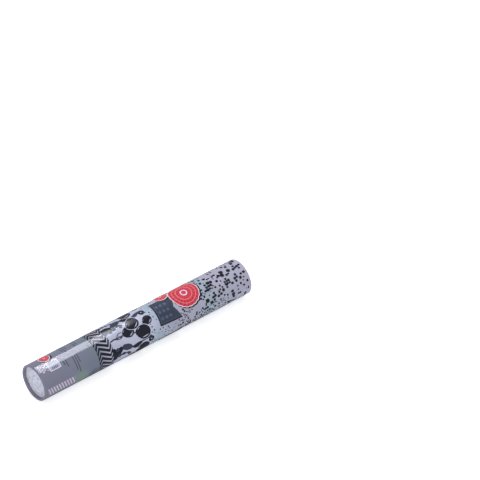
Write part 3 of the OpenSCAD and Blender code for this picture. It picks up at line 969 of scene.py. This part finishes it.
def add_camera(light):
    """The camera at the photograph's viewing angle."""
    azimuth = light.camera_azimuth
    rise = light.camera_elevation
    back = Vector((math.sin(azimuth) * math.cos(rise), -math.cos(azimuth) * math.cos(rise), math.sin(rise)))
    right = (-back).cross(Vector((0, 0, 1))).normalized()
    up = right.cross(-back)
    roll = light.camera_roll
    rolled_right = right * math.cos(roll) + up * math.sin(roll)
    rolled_up = up * math.cos(roll) - right * math.sin(roll)
    turn = Matrix((rolled_right, rolled_up, back)).transposed()
    spot = Vector(light.camera_aim) + back * light.camera_distance
    lens = bpy.data.cameras.new("camera")
    lens.lens = light.focal_mm
    camera = bpy.data.objects.new("camera", lens)
    camera.matrix_world = Matrix.Translation(spot) @ turn.to_4x4()
    bpy.context.scene.collection.objects.link(camera)
    bpy.context.scene.camera = camera


def add_softbox(name, centre, along, size, level):
    """A rectangular lamp at a centre that faces the popper, its second side along a direction."""
    away = Vector(centre).normalized()
    across = Vector(along).cross(away).normalized()
    turn = Matrix((across, away.cross(across), away)).transposed()
    lamp = bpy.data.lights.new(name, "AREA")
    lamp.shape = "RECTANGLE"
    lamp.color = LAMP_TINT
    lamp.size, lamp.size_y = size
    lamp.energy = level * math.pi**2 * Vector(centre).length_squared
    softbox = bpy.data.objects.new(name, lamp)
    softbox.matrix_world = Matrix.Translation(centre) @ turn.to_4x4()
    bpy.context.scene.collection.objects.link(softbox)


def add_room(level):
    """Even light from all round, white where the camera or a mirror sees it."""
    world = bpy.data.worlds.new("room")
    world.use_nodes = True
    tree = world.node_tree
    shader = tree.nodes["Background"]
    path = tree.nodes.new("ShaderNodeLightPath")
    seen = path.outputs["Is Camera Ray"]
    for other in ("Is Glossy Ray", "Is Transmission Ray"):
        either = tree.nodes.new("ShaderNodeMath")
        either.operation = "MAXIMUM"
        tree.links.new(seen, either.inputs[0])
        tree.links.new(path.outputs[other], either.inputs[1])
        seen = either.outputs[0]
    strength = tree.nodes.new("ShaderNodeMapRange")
    strength.inputs["To Min"].default_value = level
    strength.inputs["To Max"].default_value = 1.0
    tree.links.new(seen, strength.inputs["Value"])
    tree.links.new(strength.outputs[0], shader.inputs["Strength"])
    shader.inputs["Color"].default_value = (1, 1, 1, 1)
    bpy.context.scene.world = world
    bpy.context.scene.view_settings.view_transform = "Standard"


def add_table():
    """A white table that keeps the popper's shadow."""
    signs = ((-1, -1), (1, -1), (1, 1), (-1, 1))
    mesh = bpy.data.meshes.new("table")
    mesh.from_pydata([(x * TABLE_HALF, y * TABLE_HALF, 0) for x, y in signs], [], [(0, 1, 2, 3)])
    recipe = Recipe("table_top", Roughness=0.9, Specular_IOR_Level=0.0, Emission_Color=(1, 1, 1, 1))
    recipe.feed("Base Color", recipe.ramp(recipe.grain(3, 2), [(0.0, [0.93] * 3), (1.0, [0.95] * 3)]))
    seen = recipe.node("ShaderNodeLightPath").outputs["Is Camera Ray"]
    recipe.feed("Emission Strength", recipe.calc("MULTIPLY", seen, TABLE_GLOW))
    mesh.materials.append(recipe.material)
    table = bpy.data.objects.new("table", mesh)
    bpy.context.scene.collection.objects.link(table)


class POPPER_OT_board(bpy.types.Operator):
    """The cardboard of the tubes, the centring ring, the wad and the closure"""

    bl_idname = "popper.board"
    bl_label = "Cardboard"

    def execute(self, context):
        shade = context.scene.popper.colours.board
        finish_nodes(board("wound_board", shade), "barrel_tube", "grip_tube", "centring_ring")
        finish_nodes(board("flat_board", toned(shade, 0.9), wound=False), "wad_board", "closure_cup")
        return {"FINISHED"}


class POPPER_OT_paper(bpy.types.Operator):
    """The laminated paper round both tubes, turned over the rims and tucked in"""

    bl_idname = "popper.paper"
    bl_label = "Paper"

    def execute(self, context):
        popper = context.scene.popper
        for name, node, body, rim_s, cut_s, material in (
            ("barrel_skin", "barrel_label", "barrel", TOTAL_L, BARREL_S, barrel_paper(popper.colours)),
            ("grip_skin", "grip_label", "grip", 0.0, GRIP_L, grip_paper(popper.colours)),
        ):
            points, faces = paper_shape(popper.sizes, rim_s, cut_s)
            skin = add_piece(name, points, faces, material, body)
            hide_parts(node)
        return {"FINISHED"}


def paper_shape(sizes, rim_s, cut_s):
    """Paper from its cut edge at the joint to the rim, over it and into the bore."""
    inward = 1 if cut_s > rim_s else -1
    full = abs(cut_s - rim_s)
    tuck = sizes.tuck_l
    fillet = sizes.rim_fillet
    ripple_h = 0.09 * MM
    ragged_l = 0.35 * MM
    profile = rounded([
        (full, PAPER_R, 0),
        (full / 2, PAPER_R, 0),
        (2 * fillet, PAPER_R, 0),
        (0, PAPER_R, fillet),
        (0, MOUTH_R, fillet),
        (tuck / 2, MOUTH_R, 0),
        (tuck, MOUTH_R, 0),
        (tuck, BORE_R, 0),
        (PAPER_T, BORE_R, fillet - PAPER_T),
        (PAPER_T, BOARD_R, fillet - PAPER_T),
        (full, BOARD_R, 0),
    ])

    def uneven(angle, level, waves):
        return noise.noise(Vector((math.cos(angle), math.sin(angle), level)) * waves)

    def shape(depth, radius, angle):
        if radius > BOARD_R + PAPER_T / 2:
            radius += seam_lift(angle) * min(1.0, depth / (3 * fillet))
        elif radius < (MOUTH_R + BORE_R) / 2 and depth > fillet:
            radius -= ripple_h * min(1.0, depth / tuck) * abs(uneven(angle, rim_s, 9))
            if depth > 0.9 * tuck:
                depth += ragged_l * uneven(angle, 2, 3)
        return rim_s + inward * depth, radius

    return lathe(profile, facet_angles(), shape)


class POPPER_OT_chevrons(bpy.types.Operator):
    """The band of black chevrons where the barrel meets the grip"""

    bl_idname = "popper.chevrons"
    bl_label = "Chevrons"

    def execute(self, context):
        popper = context.scene.popper
        sizes = popper.sizes
        pitch = PAPER_ROUND / sizes.chevrons
        black_w = 0.64 * pitch
        bands = []
        for i in range(sizes.chevrons):
            bands.append((1, [zigzag(sizes.chevron_l, sizes.chevron_rise, black_w, i * pitch)]))
        lay_ink("chevrons", bands, ink("chevron_ink", popper.colours.black), "barrel")
        return {"FINISHED"}


class POPPER_OT_balloons(bpy.types.Operator):
    """Bunches of black balloons on strings, with waving streamers between them"""

    bl_idname = "popper.balloons"
    bl_label = "Balloons and streamers"

    def execute(self, context):
        popper = context.scene.popper
        sizes = popper.sizes
        colours = popper.colours
        draw = random.Random(11)
        inks = {
            "strings": colours.black,
            "streamers": colours.black,
            "shading": colours.slate,
            "rims": colours.barrel_pale,
            "balloons": colours.black,
            "gleams": colours.barrel_pale,
        }
        printed = {name: [] for name in inks}
        for bunch in range(sizes.bunches):
            root = (BARREL_S + sizes.chevron_l, PAPER_ROUND * (bunch + 0.46) / sizes.bunches)
            add_bunch(printed, sizes, root, -1 if bunch % 2 else 1, draw)
            for aside, reach, share in STREAMERS:
                start = (root[0] - STREAMER_START, root[1] + aside * MM)
                sway = STREAMER_SWAY * share
                line = streamer_line(start, reach * MM, sway, draw.uniform(0, TURN), STREAMER_CURL * share)
                add_streamer(printed, line, sizes.streamer_w * share)
        for name, shade in inks.items():
            lay_ink(f"printed_{name}", printed[name], ink(f"{name}_ink", shade), "barrel")
        return {"FINISHED"}


def add_bunch(printed, sizes, root, flip, draw):
    """Balloons whose strings meet at a root. A flip of -1 mirrors the bunch."""
    for number, (reach, aside, scale) in enumerate(BUNCH):
        centre = (
            root[0] + (reach + draw.uniform(-2, 3)) * MM,
            root[1] + (flip * aside + draw.uniform(-1, 1)) * MM,
        )
        tilt = math.radians(flip * aside * 2.4 + draw.uniform(-8, 8))
        add_balloon(printed, sizes, centre, tilt, scale, BALLOON_LAYER + 2 * number)
        neck = turned([(-0.56 * sizes.balloon_l * scale, 0)], centre, tilt)[0]
        line = string_line(root, neck, STRING_SWAY, draw.uniform(0, TURN))
        printed["strings"].append((1, [ribbon(line, [sizes.string_w] * len(line))]))


def add_balloon(printed, sizes, centre, tilt, scale, layer):
    """A balloon with its knot, a pale line round it and two gleams."""
    long = sizes.balloon_l * scale
    wide = sizes.balloon_w * scale
    rim = 1.3 * MM
    printed["rims"].append((layer, [turned(balloon_outline(long + rim, wide + rim), centre, tilt)]))
    for outline in (balloon_outline(long, wide), balloon_knot(long)):
        printed["balloons"].append((layer + 1, [turned(outline, centre, tilt)]))
    for start, end, share in ((25, 100, 0.15), (205, 245, 0.07)):
        gleam = crescent(long, wide, start, end, share)
        printed["gleams"].append((layer + 1.6, [turned(gleam, centre, tilt)]))


def add_streamer(printed, line, widest):
    """A twisted streamer as lobes that narrow towards its curled tip, by turns black and slate."""
    last = len(line) - 1
    lobe = max(4, last // 5)
    waist = 0.24
    for number, first in enumerate(range(0, last - 1, lobe)):
        part = line[first : first + lobe + 1]
        full = widest * (1 - 0.86 * first / last)
        swell = [math.sin(math.pi * i / (len(part) - 1)) ** 0.7 for i in range(len(part))]
        widths = [full * (waist + (1 - waist) * s) for s in swell]
        target = printed["shading"] if number % 2 else printed["streamers"]
        target.append((2 + number % 2, [ribbon(part, widths)]))


class POPPER_OT_pennants(bpy.types.Operator):
    """Slate pennants with a thin border and plain stars"""

    bl_idname = "popper.pennants"
    bl_label = "Pennants"

    def execute(self, context):
        popper = context.scene.popper
        colours = popper.colours
        long = popper.sizes.pennant_l
        wide = popper.sizes.pennant_w
        cloth = pennant_outline(long, wide)
        edge = [(x * 1.06, y * 1.08) for x, y in cloth]
        border = frame_line(cloth, inset=1.5 * MM, width=0.4 * MM)
        star = star_outline(0.1 * wide)
        rows = (-0.34, -0.15, 0.04)
        spots = [(along * long, aside * wide) for along in rows for aside in (-0.27, 0, 0.27)]
        places = pennant_places()
        edges = [[turned(edge, centre, tilt)] for centre, tilt in places]
        cloths = [[turned(cloth, centre, tilt)] for centre, tilt in places]
        borders = [[turned(loop, centre, tilt) for loop in border] for centre, tilt in places]
        stars = []
        for centre, tilt in places:
            stars += [[turned(star, spot, tilt)] for spot in turned(spots, centre, tilt)]
        grey = toned(colours.slate, 2.5)
        prints = (
            ("pennant_edges", PENNANT_LAYER, edges, colours.black),
            ("pennants", PENNANT_LAYER + 1, cloths, colours.slate),
            ("pennant_borders", PENNANT_LAYER + 2, borders, grey),
            ("pennant_stars", PENNANT_LAYER + 2, stars, grey),
        )
        lay_inks(prints, "barrel")
        return {"FINISHED"}


class POPPER_OT_fans(bpy.types.Operator):
    """Red pleated paper fans with a white rim and a dark shadow"""

    bl_idname = "popper.fans"
    bl_label = "Paper fans"

    def execute(self, context):
        popper = context.scene.popper
        fans = [(centre, radius, 0.3 * i) for i, (centre, radius) in enumerate(fan_places(popper.sizes))]
        lay_fans("fan", fans, popper, "barrel")
        return {"FINISHED"}


def lay_fans(name, fans, popper, body):
    """Prints paper fans, each ink as a layer of its own. A fan is its centre, radius and tilt."""
    colours = popper.colours
    inks = {
        "shadow": colours.black,
        "rim": colours.white,
        "body": colours.red,
        "folds": colours.deep_red,
        "rings": colours.coral,
        "hub": colours.white,
        "heart": colours.red,
    }
    drawn = [fan_shapes(popper.sizes, *fan) for fan in fans]
    prints = []
    for layer, (part, shade) in enumerate(inks.items(), FAN_LAYER):
        prints.append((f"{name}_{part}", layer, [shape for fan in drawn for shape in fan[part]], shade))
    lay_inks(prints, body, mottle=0.8)


class POPPER_OT_speckles(bpy.types.Operator):
    """Squares of confetti that grow towards the muzzle"""

    bl_idname = "popper.speckles"
    bl_label = "Speckles"

    def execute(self, context):
        popper = context.scene.popper
        sizes = popper.sizes
        colours = popper.colours
        draw = random.Random(23)
        taken = [(centre, radius + FAN_ROOM) for centre, radius in fan_places(sizes)]
        taken += [(centre, 0.56 * sizes.pennant_l) for centre, _ in pennant_places()]
        dark = []
        for station, degrees, count in CLUMPS:
            spot = flat_spot(station, degrees)
            taken.append((spot, 1.5 * sizes.speckle_large))
            add_cluster(dark, spot, 0.95 * sizes.speckle_large, count, draw)
        for tries, *family in speckle_families(sizes):
            scatter(dark, taken, int(tries * sizes.speckles), family, draw)
        pale = []
        for _ in range(14):
            spot = ((250 + 44 * draw.random()) * MM, draw.uniform(0, PAPER_ROUND))
            if has_room(spot, sizes.speckle_large / 2, taken):
                add_cluster(pale, spot, 0.8 * sizes.speckle_small, 2, draw)
        lay_inks((("speckles", 1, dark, colours.black), ("pale_speckles", 2, pale, colours.white)), "barrel")
        return {"FINISHED"}


def speckle_families(sizes):
    """Families of scattered squares. Each is its share of all tries, its first and last station in mm,
    its side, its clumps' numbers of squares, the room round it in sides, and how it crowds: under 1
    towards the last station, over 1 towards the first."""
    small = sizes.speckle_small
    large = sizes.speckle_large
    return (
        (0.016, 240, 294, 1.05 * large, (3, 4, 5, 7), 1.4, 0.9),
        (0.084, 234, 297, large, (1, 1, 2), 0.8, 0.9),
        (0.2, 222, 297, 1.3 * small, (1, 1, 1, 2), 0.64, 0.9),
        (0.4, 197, 238, 1.2 * small, (1, 1, 1, 2), 0.56, 0.9),
        (0.5, 190, 262, 0.9 * small, (1,), 0.6, 1.2),
        (0.1, 152, 198, 0.8 * small, (1,), 0.9, 1.2),
    )


def scatter(shapes, taken, tries, family, draw):
    """Tries random places for a family's squares, and prints at those that have room and aren't bare."""
    first, last, side, counts, room, crowding = family
    for _ in range(tries):
        station = first + (last - first) * draw.random() ** crowding
        spot = (station * MM, draw.uniform(0, PAPER_ROUND))
        size = side * draw.uniform(0.65, 1.3)
        if not is_bare(spot) and has_room(spot, room * size, taken):
            taken.append((spot, room * size))
            add_cluster(shapes, spot, size, draw.choice(counts), draw)


def is_bare(spot):
    """Whether a spot lies in one of the patches that are left bare."""
    waves = 38
    return noise.noise(Vector((*spot, 0)) * waves) < -0.36


def has_room(spot, reach, taken):
    """Whether a round place keeps clear of all those taken."""
    return all(apart(spot, centre) >= radius + reach for centre, radius in taken)


def add_cluster(shapes, spot, side, count, draw):
    """One square, or a clump of squares that touch, each a little off its place."""
    steps = [(0, 0), (1, 0), (0, 1), (1, 1), (-1, 0), (0, -1), (2, 0), (-1, 1)]
    pitch = 0.97 * side
    chosen = [steps[0], *draw.sample(steps[1:], count - 1)]
    spin = draw.uniform(-0.3, 0.3)
    for along, across in chosen:
        size = side * draw.uniform(0.82, 1.08)
        middle = turned([(along * pitch, across * pitch)], spot, spin)[0]
        if middle[0] + size < TOTAL_L - RIM_ROOM:
            square = soft_square(size, size * draw.uniform(0.82, 1.1))
            shapes.append([turned(square, middle, spin + draw.uniform(-0.15, 0.15))])


class POPPER_OT_grip_marks(bpy.types.Operator):
    """Bare panels, stripes, dots, plain rules and small paper fans on the grip"""

    bl_idname = "popper.grip_marks"
    bl_label = "Grip marks"

    def execute(self, context):
        popper = context.scene.popper
        colours = popper.colours
        soft_white = [(a + 2 * b) / 3 for a, b in zip(colours.grip, colours.white)]
        prints = (
            ("grip_panels", 1, grip_panels(0, 0.08), toned(colours.white, 0.86)),
            ("grip_panel_fills", 2, grip_panels(2.2, 0.05), toned(colours.barrel_pale, 0.78)),
            ("grip_rules", 3, grip_rules(), toned(colours.grip, 0.42)),
            ("grip_stripe_panel", 1, [bar(*STRIPE_PANEL, 0.05)], linear("8b8399")),
            ("grip_stripes", 2, grip_stripes(), soft_white),
            ("grip_dots", 1, grip_dots(), toned(colours.white, 0.8)),
        )
        lay_inks(prints, "grip")
        fans = [(flat_spot(station, angle), radius * MM, tilt) for station, angle, radius, tilt in GRIP_FANS]
        lay_fans("grip_fan", fans, popper, "grip")
        return {"FINISHED"}


def bar(station, degrees, long, wide, *corner_share):
    """A bar round an angle of the grip, its station and sides in mm."""
    return [turned(soft_square(long * MM, wide * MM, *corner_share), flat_spot(station, degrees))]


def grip_panels(inset, corner_share):
    """The bare panels, smaller by an inset in mm."""
    return [bar(s, degrees, long - inset, wide - inset, corner_share) for s, degrees, long, wide in PANELS]


def grip_rules():
    """The bars in the first panel, and groups of rules that start level with each other."""
    first, degrees, pitch, lengths = BARS
    rules = [bar(first + pitch * i, degrees, RULE_W, bar_l) for i, bar_l in enumerate(lengths)]
    for first, degrees, lengths in RULES:
        for i, rule_l in enumerate(lengths):
            lower = math.degrees((max(lengths) - rule_l) / 2 * MM / PAPER_R)
            rules.append(bar(first + RULE_PITCH * i, degrees - lower, RULE_W, rule_l))
    return rules


def grip_stripes():
    """Slanted stripes across the striped panel."""
    first, pitch = STRIPES
    stripe = [(x * MM, y * MM) for x, y in ((-0.9, -5), (0.6, -5), (4.1, 5), (2.6, 5))]
    return [[turned(stripe, flat_spot(first + pitch * i, STRIPE_PANEL[1]))] for i in range(10)]


def grip_dots():
    """Rows of dots of three sizes beside the first panel."""
    first, degrees, pitch, row_pitch = DOTS
    shapes = []
    for i in range(12):
        dot = ring_of(24, lambda angle: (1.3 - 0.25 * (i % 3)) * MM)
        spot = flat_spot(first + pitch * (i % 4), degrees + row_pitch * (i // 4) + 4 * (i % 2))
        shapes.append([turned(dot, spot)])
    return shapes


class POPPER_OT_base_plug(bpy.types.Operator):
    """The white plug in the base, with rounded ridges and a gate mark"""

    bl_idname = "popper.base_plug"
    bl_label = "Base plug"

    def execute(self, context):
        low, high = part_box("base_plug")
        profile = plug_profile(low.x - BASE_X, high.x - BASE_X)
        points, faces = lathe(rounded(profile), even_angles(FACETS))
        material = plug_plastic("clear_white_plastic", linear("e6e8f4"))
        plug = add_piece("end_plug", points, faces, material, "grip")
        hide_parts("base_plug")
        return {"FINISHED"}


def plug_profile(top_s, end_s):
    """Half the section of the cup-shaped plug, from the top of its gate mark and ridges to its inner end."""
    ridge_h = 0.5 * MM
    ridge_w = 1.0 * MM
    slope = 0.1 * MM
    gate_top_r = 1.4 * MM
    gate_foot_r = 1.7 * MM
    face_t = 2.0 * MM
    wall = 1.6 * MM
    groove_r = BORE_R - 2.2 * MM
    bead_r = BORE_R - 1.2 * MM
    fine = 0.2 * MM
    small = 0.25 * MM
    middling = 0.3 * MM
    full = 0.4 * MM
    face_s = top_s + ridge_h
    inner_s = face_s + face_t
    profile = [(inner_s, 0, 0), (top_s, 0, 0), (top_s, gate_top_r, middling), (face_s, gate_foot_r, fine)]
    for share in (0.36, 0.72):
        low_r = share * BORE_R - ridge_w / 2
        high_r = low_r + ridge_w
        profile += [(face_s, low_r, fine), (top_s, low_r + slope, small)]
        profile += [(top_s, high_r - slope, small), (face_s, high_r, fine)]
    return profile + [
        (face_s + 0.5 * ridge_h, groove_r, middling),
        (face_s - 0.2 * ridge_h, bead_r, full),
        (face_s, BORE_R, middling),
        (end_s, BORE_R, middling),
        (end_s, BORE_R - wall, middling),
        (inner_s, BORE_R - wall, full),
    ]


class POPPER_OT_bottle(bpy.types.Operator):
    """The air bottle with its seat, gasket, ferrule and filling plug"""

    bl_idname = "popper.bottle"
    bl_label = "Air bottle"

    def execute(self, context):
        metal = turned_metal("drawn_aluminium", slot_colour("bottle_metal"))
        finish_nodes(metal, "air_bottle", "crimp_ferrule")
        moulded = rubber("moulded_rubber", slot_colour("black_rubber"))
        finish_nodes(moulded, "fill_plug", "seat_gasket", "stopper_o_rings")
        finish_nodes(plastic("white_plastic", slot_colour("white_plastic"), 0.36, 0.1), "valve_seat")
        return {"FINISHED"}


class POPPER_OT_release(bpy.types.Operator):
    """The moulded pieces of the coupling and the twist release"""

    bl_idname = "popper.release"
    bl_label = "Twist release"

    def execute(self, context):
        white = plastic("release_white_plastic", slot_colour("white_plastic"), 0.4, 0.1)
        finish_nodes(white, "cam_ring", "gas_plate", "retaining_ring")
        for slot, node in (
            ("grey_plastic", "coupling_sleeve"),
            ("orange_plastic", "driver_collar"),
            ("red_plastic", "stopper"),
        ):
            finish_nodes(plastic(slot, slot_colour(slot)), node)
        return {"FINISHED"}


class POPPER_OT_foam(bpy.types.Operator):
    """The foam wad behind the slips and the foam pad under the bottle"""

    bl_idname = "popper.foam"
    bl_label = "Foam"

    def execute(self, context):
        material = foam("grey_foam", slot_colour("grey_foam"))
        for name, node, body in (("foam_wad", "wad_foam", "wad"), ("foam_pad", "bottle_pad", "grip")):
            points, faces = foam_disc(node)
            disc = add_piece(name, points, faces, material, body, smooth=70)
            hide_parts(node)
        return {"FINISHED"}


def foam_disc(node):
    """A die-cut disc with soft edges and a slightly pitted surface, in a node's space."""
    low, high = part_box(node)
    radius = (high.y - low.y) / 2
    start = low.x - BASE_X
    end = high.x - BASE_X
    rings = 12
    sides = 4
    pit_h = 0.12 * MM
    edge = 0.7 * MM
    cut = 0.3 * edge
    front = [(start, radius * i / rings) for i in range(rings)]
    side = [(start + (end - start) * (i + 0.5) / sides, radius) for i in range(sides)]
    back = [(end, radius * i / rings) for i in range(rings - 1, -1, -1)]
    corner_in = [(start, radius - edge), (start + cut, radius - cut)]
    corner_out = [(end - cut, radius - cut), (end, radius - edge)]
    profile = front + corner_in + side + corner_out + back

    def shape(station, across, angle):
        spot = Vector((station, across * math.cos(angle), across * math.sin(angle)))
        pit = pit_h * abs(noise.noise(spot * 900))
        toward = 1 if station < (start + end) / 2 else -1
        if across > radius - edge / 2:
            return station, across - pit
        return station + toward * pit, across

    return lathe(profile, even_angles(96), shape)


class POPPER_OT_slips(bpy.types.Operator):
    """The silver foil slips, stacked in tiers"""

    bl_idname = "popper.slips"
    bl_label = "Foil slips"

    def execute(self, context):
        popper = context.scene.popper
        leaves = popper.sizes.leaves
        draw = random.Random(31)
        points = []
        faces = []
        for low, high in bundle_boxes("confetti_slips"):
            for leaf in range(leaves):
                add_slip(points, faces, low, high, leaf, leaves, draw)
        if not points:
            raise RuntimeError("the packed model has no bundles of slips")
        material = slip_foil(popper.colours.silver)
        slips = add_piece("foil_slips", points, faces, material, "confetti", smooth=50)
        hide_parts("confetti_slips")
        return {"FINISHED"}


def bundle_boxes(node):
    """Lowest and highest corner of each separate solid of a node."""
    shape = bmesh.new()
    shape.from_mesh(frame["nodes"][node].data)
    bmesh.ops.remove_doubles(shape, verts=shape.verts, dist=WELD)
    left = set(shape.verts)
    boxes = []
    while left:
        queue = [left.pop()]
        found = []
        while queue:
            corner = queue.pop()
            found.append(corner.co.copy())
            for edge in corner.link_edges:
                other = edge.other_vert(corner)
                if other in left:
                    left.discard(other)
                    queue.append(other)
        boxes.append((Vector(map(min, *found)), Vector(map(max, *found))))
    shape.free()
    return sorted(boxes, key=lambda box: tuple(box[0]))


def add_slip(points, faces, low, high, leaf, leaves, draw):
    """One thin slip in its bundle, a little shifted, turned and curled."""
    steps = 8
    pitch = (high.y - low.y) / leaves
    half_t = 0.045 * MM
    middle = (low + high) / 2
    height = low.y + (leaf + 0.5) * pitch
    half_l = (high.x - low.x) / 2 - draw.uniform(0.2, 1.2) * MM
    half_w = (high.z - low.z) / 2 - draw.uniform(0.05, 0.5) * MM
    shift_x = draw.uniform(-0.2, 0.2) * MM
    shift_z = draw.uniform(-0.05, 0.05) * MM
    spin = draw.uniform(-0.006, 0.006)
    sway = draw.uniform(-0.3, 0.3) * pitch
    phase = draw.uniform(0, TURN)
    start = len(points)
    for i in range(steps + 1):
        along = 2 * i / steps - 1
        lift = sway * math.sin(2.2 * along + phase)
        for across in (-1, 1):
            for up in (-1, 1):
                x = middle.x + shift_x + along * half_l
                z = middle.z + shift_z + across * half_w + spin * along * half_l
                points.append(Vector((x, height + lift + up * half_t, z)))
    for i in range(steps):
        here = start + 4 * i
        there = here + 4
        for corner, following in ((0, 1), (1, 3), (3, 2), (2, 0)):
            faces.append((here + corner, here + following, there + following, there + corner))
    end = start + 4 * steps
    faces += [(start, start + 2, start + 3, start + 1), (end, end + 1, end + 3, end + 2)]


class POPPER_OT_closure(bpy.types.Operator):
    """The crinkled silver foil over the closure in the muzzle"""

    bl_idname = "popper.closure"
    bl_label = "Closure foil"

    def execute(self, context):
        low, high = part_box("closure_foil")
        radius = (high.y - low.y) / 2
        back_s = low.x - BASE_X
        front_s = high.x - BASE_X
        held = 1.5 * MM
        rings = 22
        profile = [(back_s, radius * i / rings) for i in range(rings + 1)]
        profile += [(front_s, radius * i / rings) for i in range(rings, -1, -1)]

        def shape(station, across, angle):
            if station < (back_s + front_s) / 2:
                return station, across
            spot = Vector((across * math.cos(angle), across * math.sin(angle), 0.0))
            share = min(1.0, (radius - across) / held + 0.2)
            return station + crumple(spot) * share, across

        points, faces = lathe(profile, even_angles(FACETS), shape)
        material = crinkled_foil(context.scene.popper.colours.silver)
        foil = add_piece("muzzle_foil", points, faces, material, "closure", smooth=60)
        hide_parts("closure_foil")
        return {"FINISHED"}


def crumple(spot):
    """Height of crumpled foil at a spot: straight folds in several directions, bent a little."""
    sway = 2.5 * MM
    bend = noise.noise(spot * 90) * sway
    height = 0.0
    for degrees, pitch, depth in FOLDS:
        angle = math.radians(degrees)
        across = spot.x * math.cos(angle) + spot.y * math.sin(angle) + bend
        height += depth * MM * abs(2 * (across / (pitch * MM) % 1) - 1)
    return height


class POPPER_PT_panel(bpy.types.Panel):
    """Lists the steps and the settings of the popper"""

    bl_idname = "POPPER_PT_panel"
    bl_label = "Confetti popper"
    bl_space_type = "VIEW_3D"
    bl_region_type = "UI"
    bl_category = "Popper"

    def draw(self, context):
        for step in STEPS:
            self.layout.operator(step.bl_idname)
        popper = context.scene.popper
        for group in (popper.sizes, popper.colours, popper.light):
            box = self.layout.box()
            for name in group.__annotations__:
                box.prop(group, name)


# The stage comes first, then the pieces from the outside inwards
STEPS = (
    POPPER_OT_stage,
    POPPER_OT_board,
    POPPER_OT_paper,
    POPPER_OT_chevrons,
    POPPER_OT_balloons,
    POPPER_OT_pennants,
    POPPER_OT_fans,
    POPPER_OT_speckles,
    POPPER_OT_grip_marks,
    POPPER_OT_base_plug,
    POPPER_OT_closure,
    POPPER_OT_slips,
    POPPER_OT_foam,
    POPPER_OT_bottle,
    POPPER_OT_release,
)
CLASSES = (PopperSizes, PopperColours, PopperLight, PopperSettings, *STEPS, POPPER_PT_panel)


def register():
    for cls in CLASSES:
        bpy.utils.register_class(cls)
    bpy.types.Scene.popper = PointerProperty(type=PopperSettings)


def unregister():
    del bpy.types.Scene.popper
    for cls in reversed(CLASSES):
        bpy.utils.unregister_class(cls)


def main():
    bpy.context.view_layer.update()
    register()
    for step in STEPS:
        space, name = step.bl_idname.split(".")
        getattr(getattr(bpy.ops, space), name)()


if __name__ == "__main__":
    main()
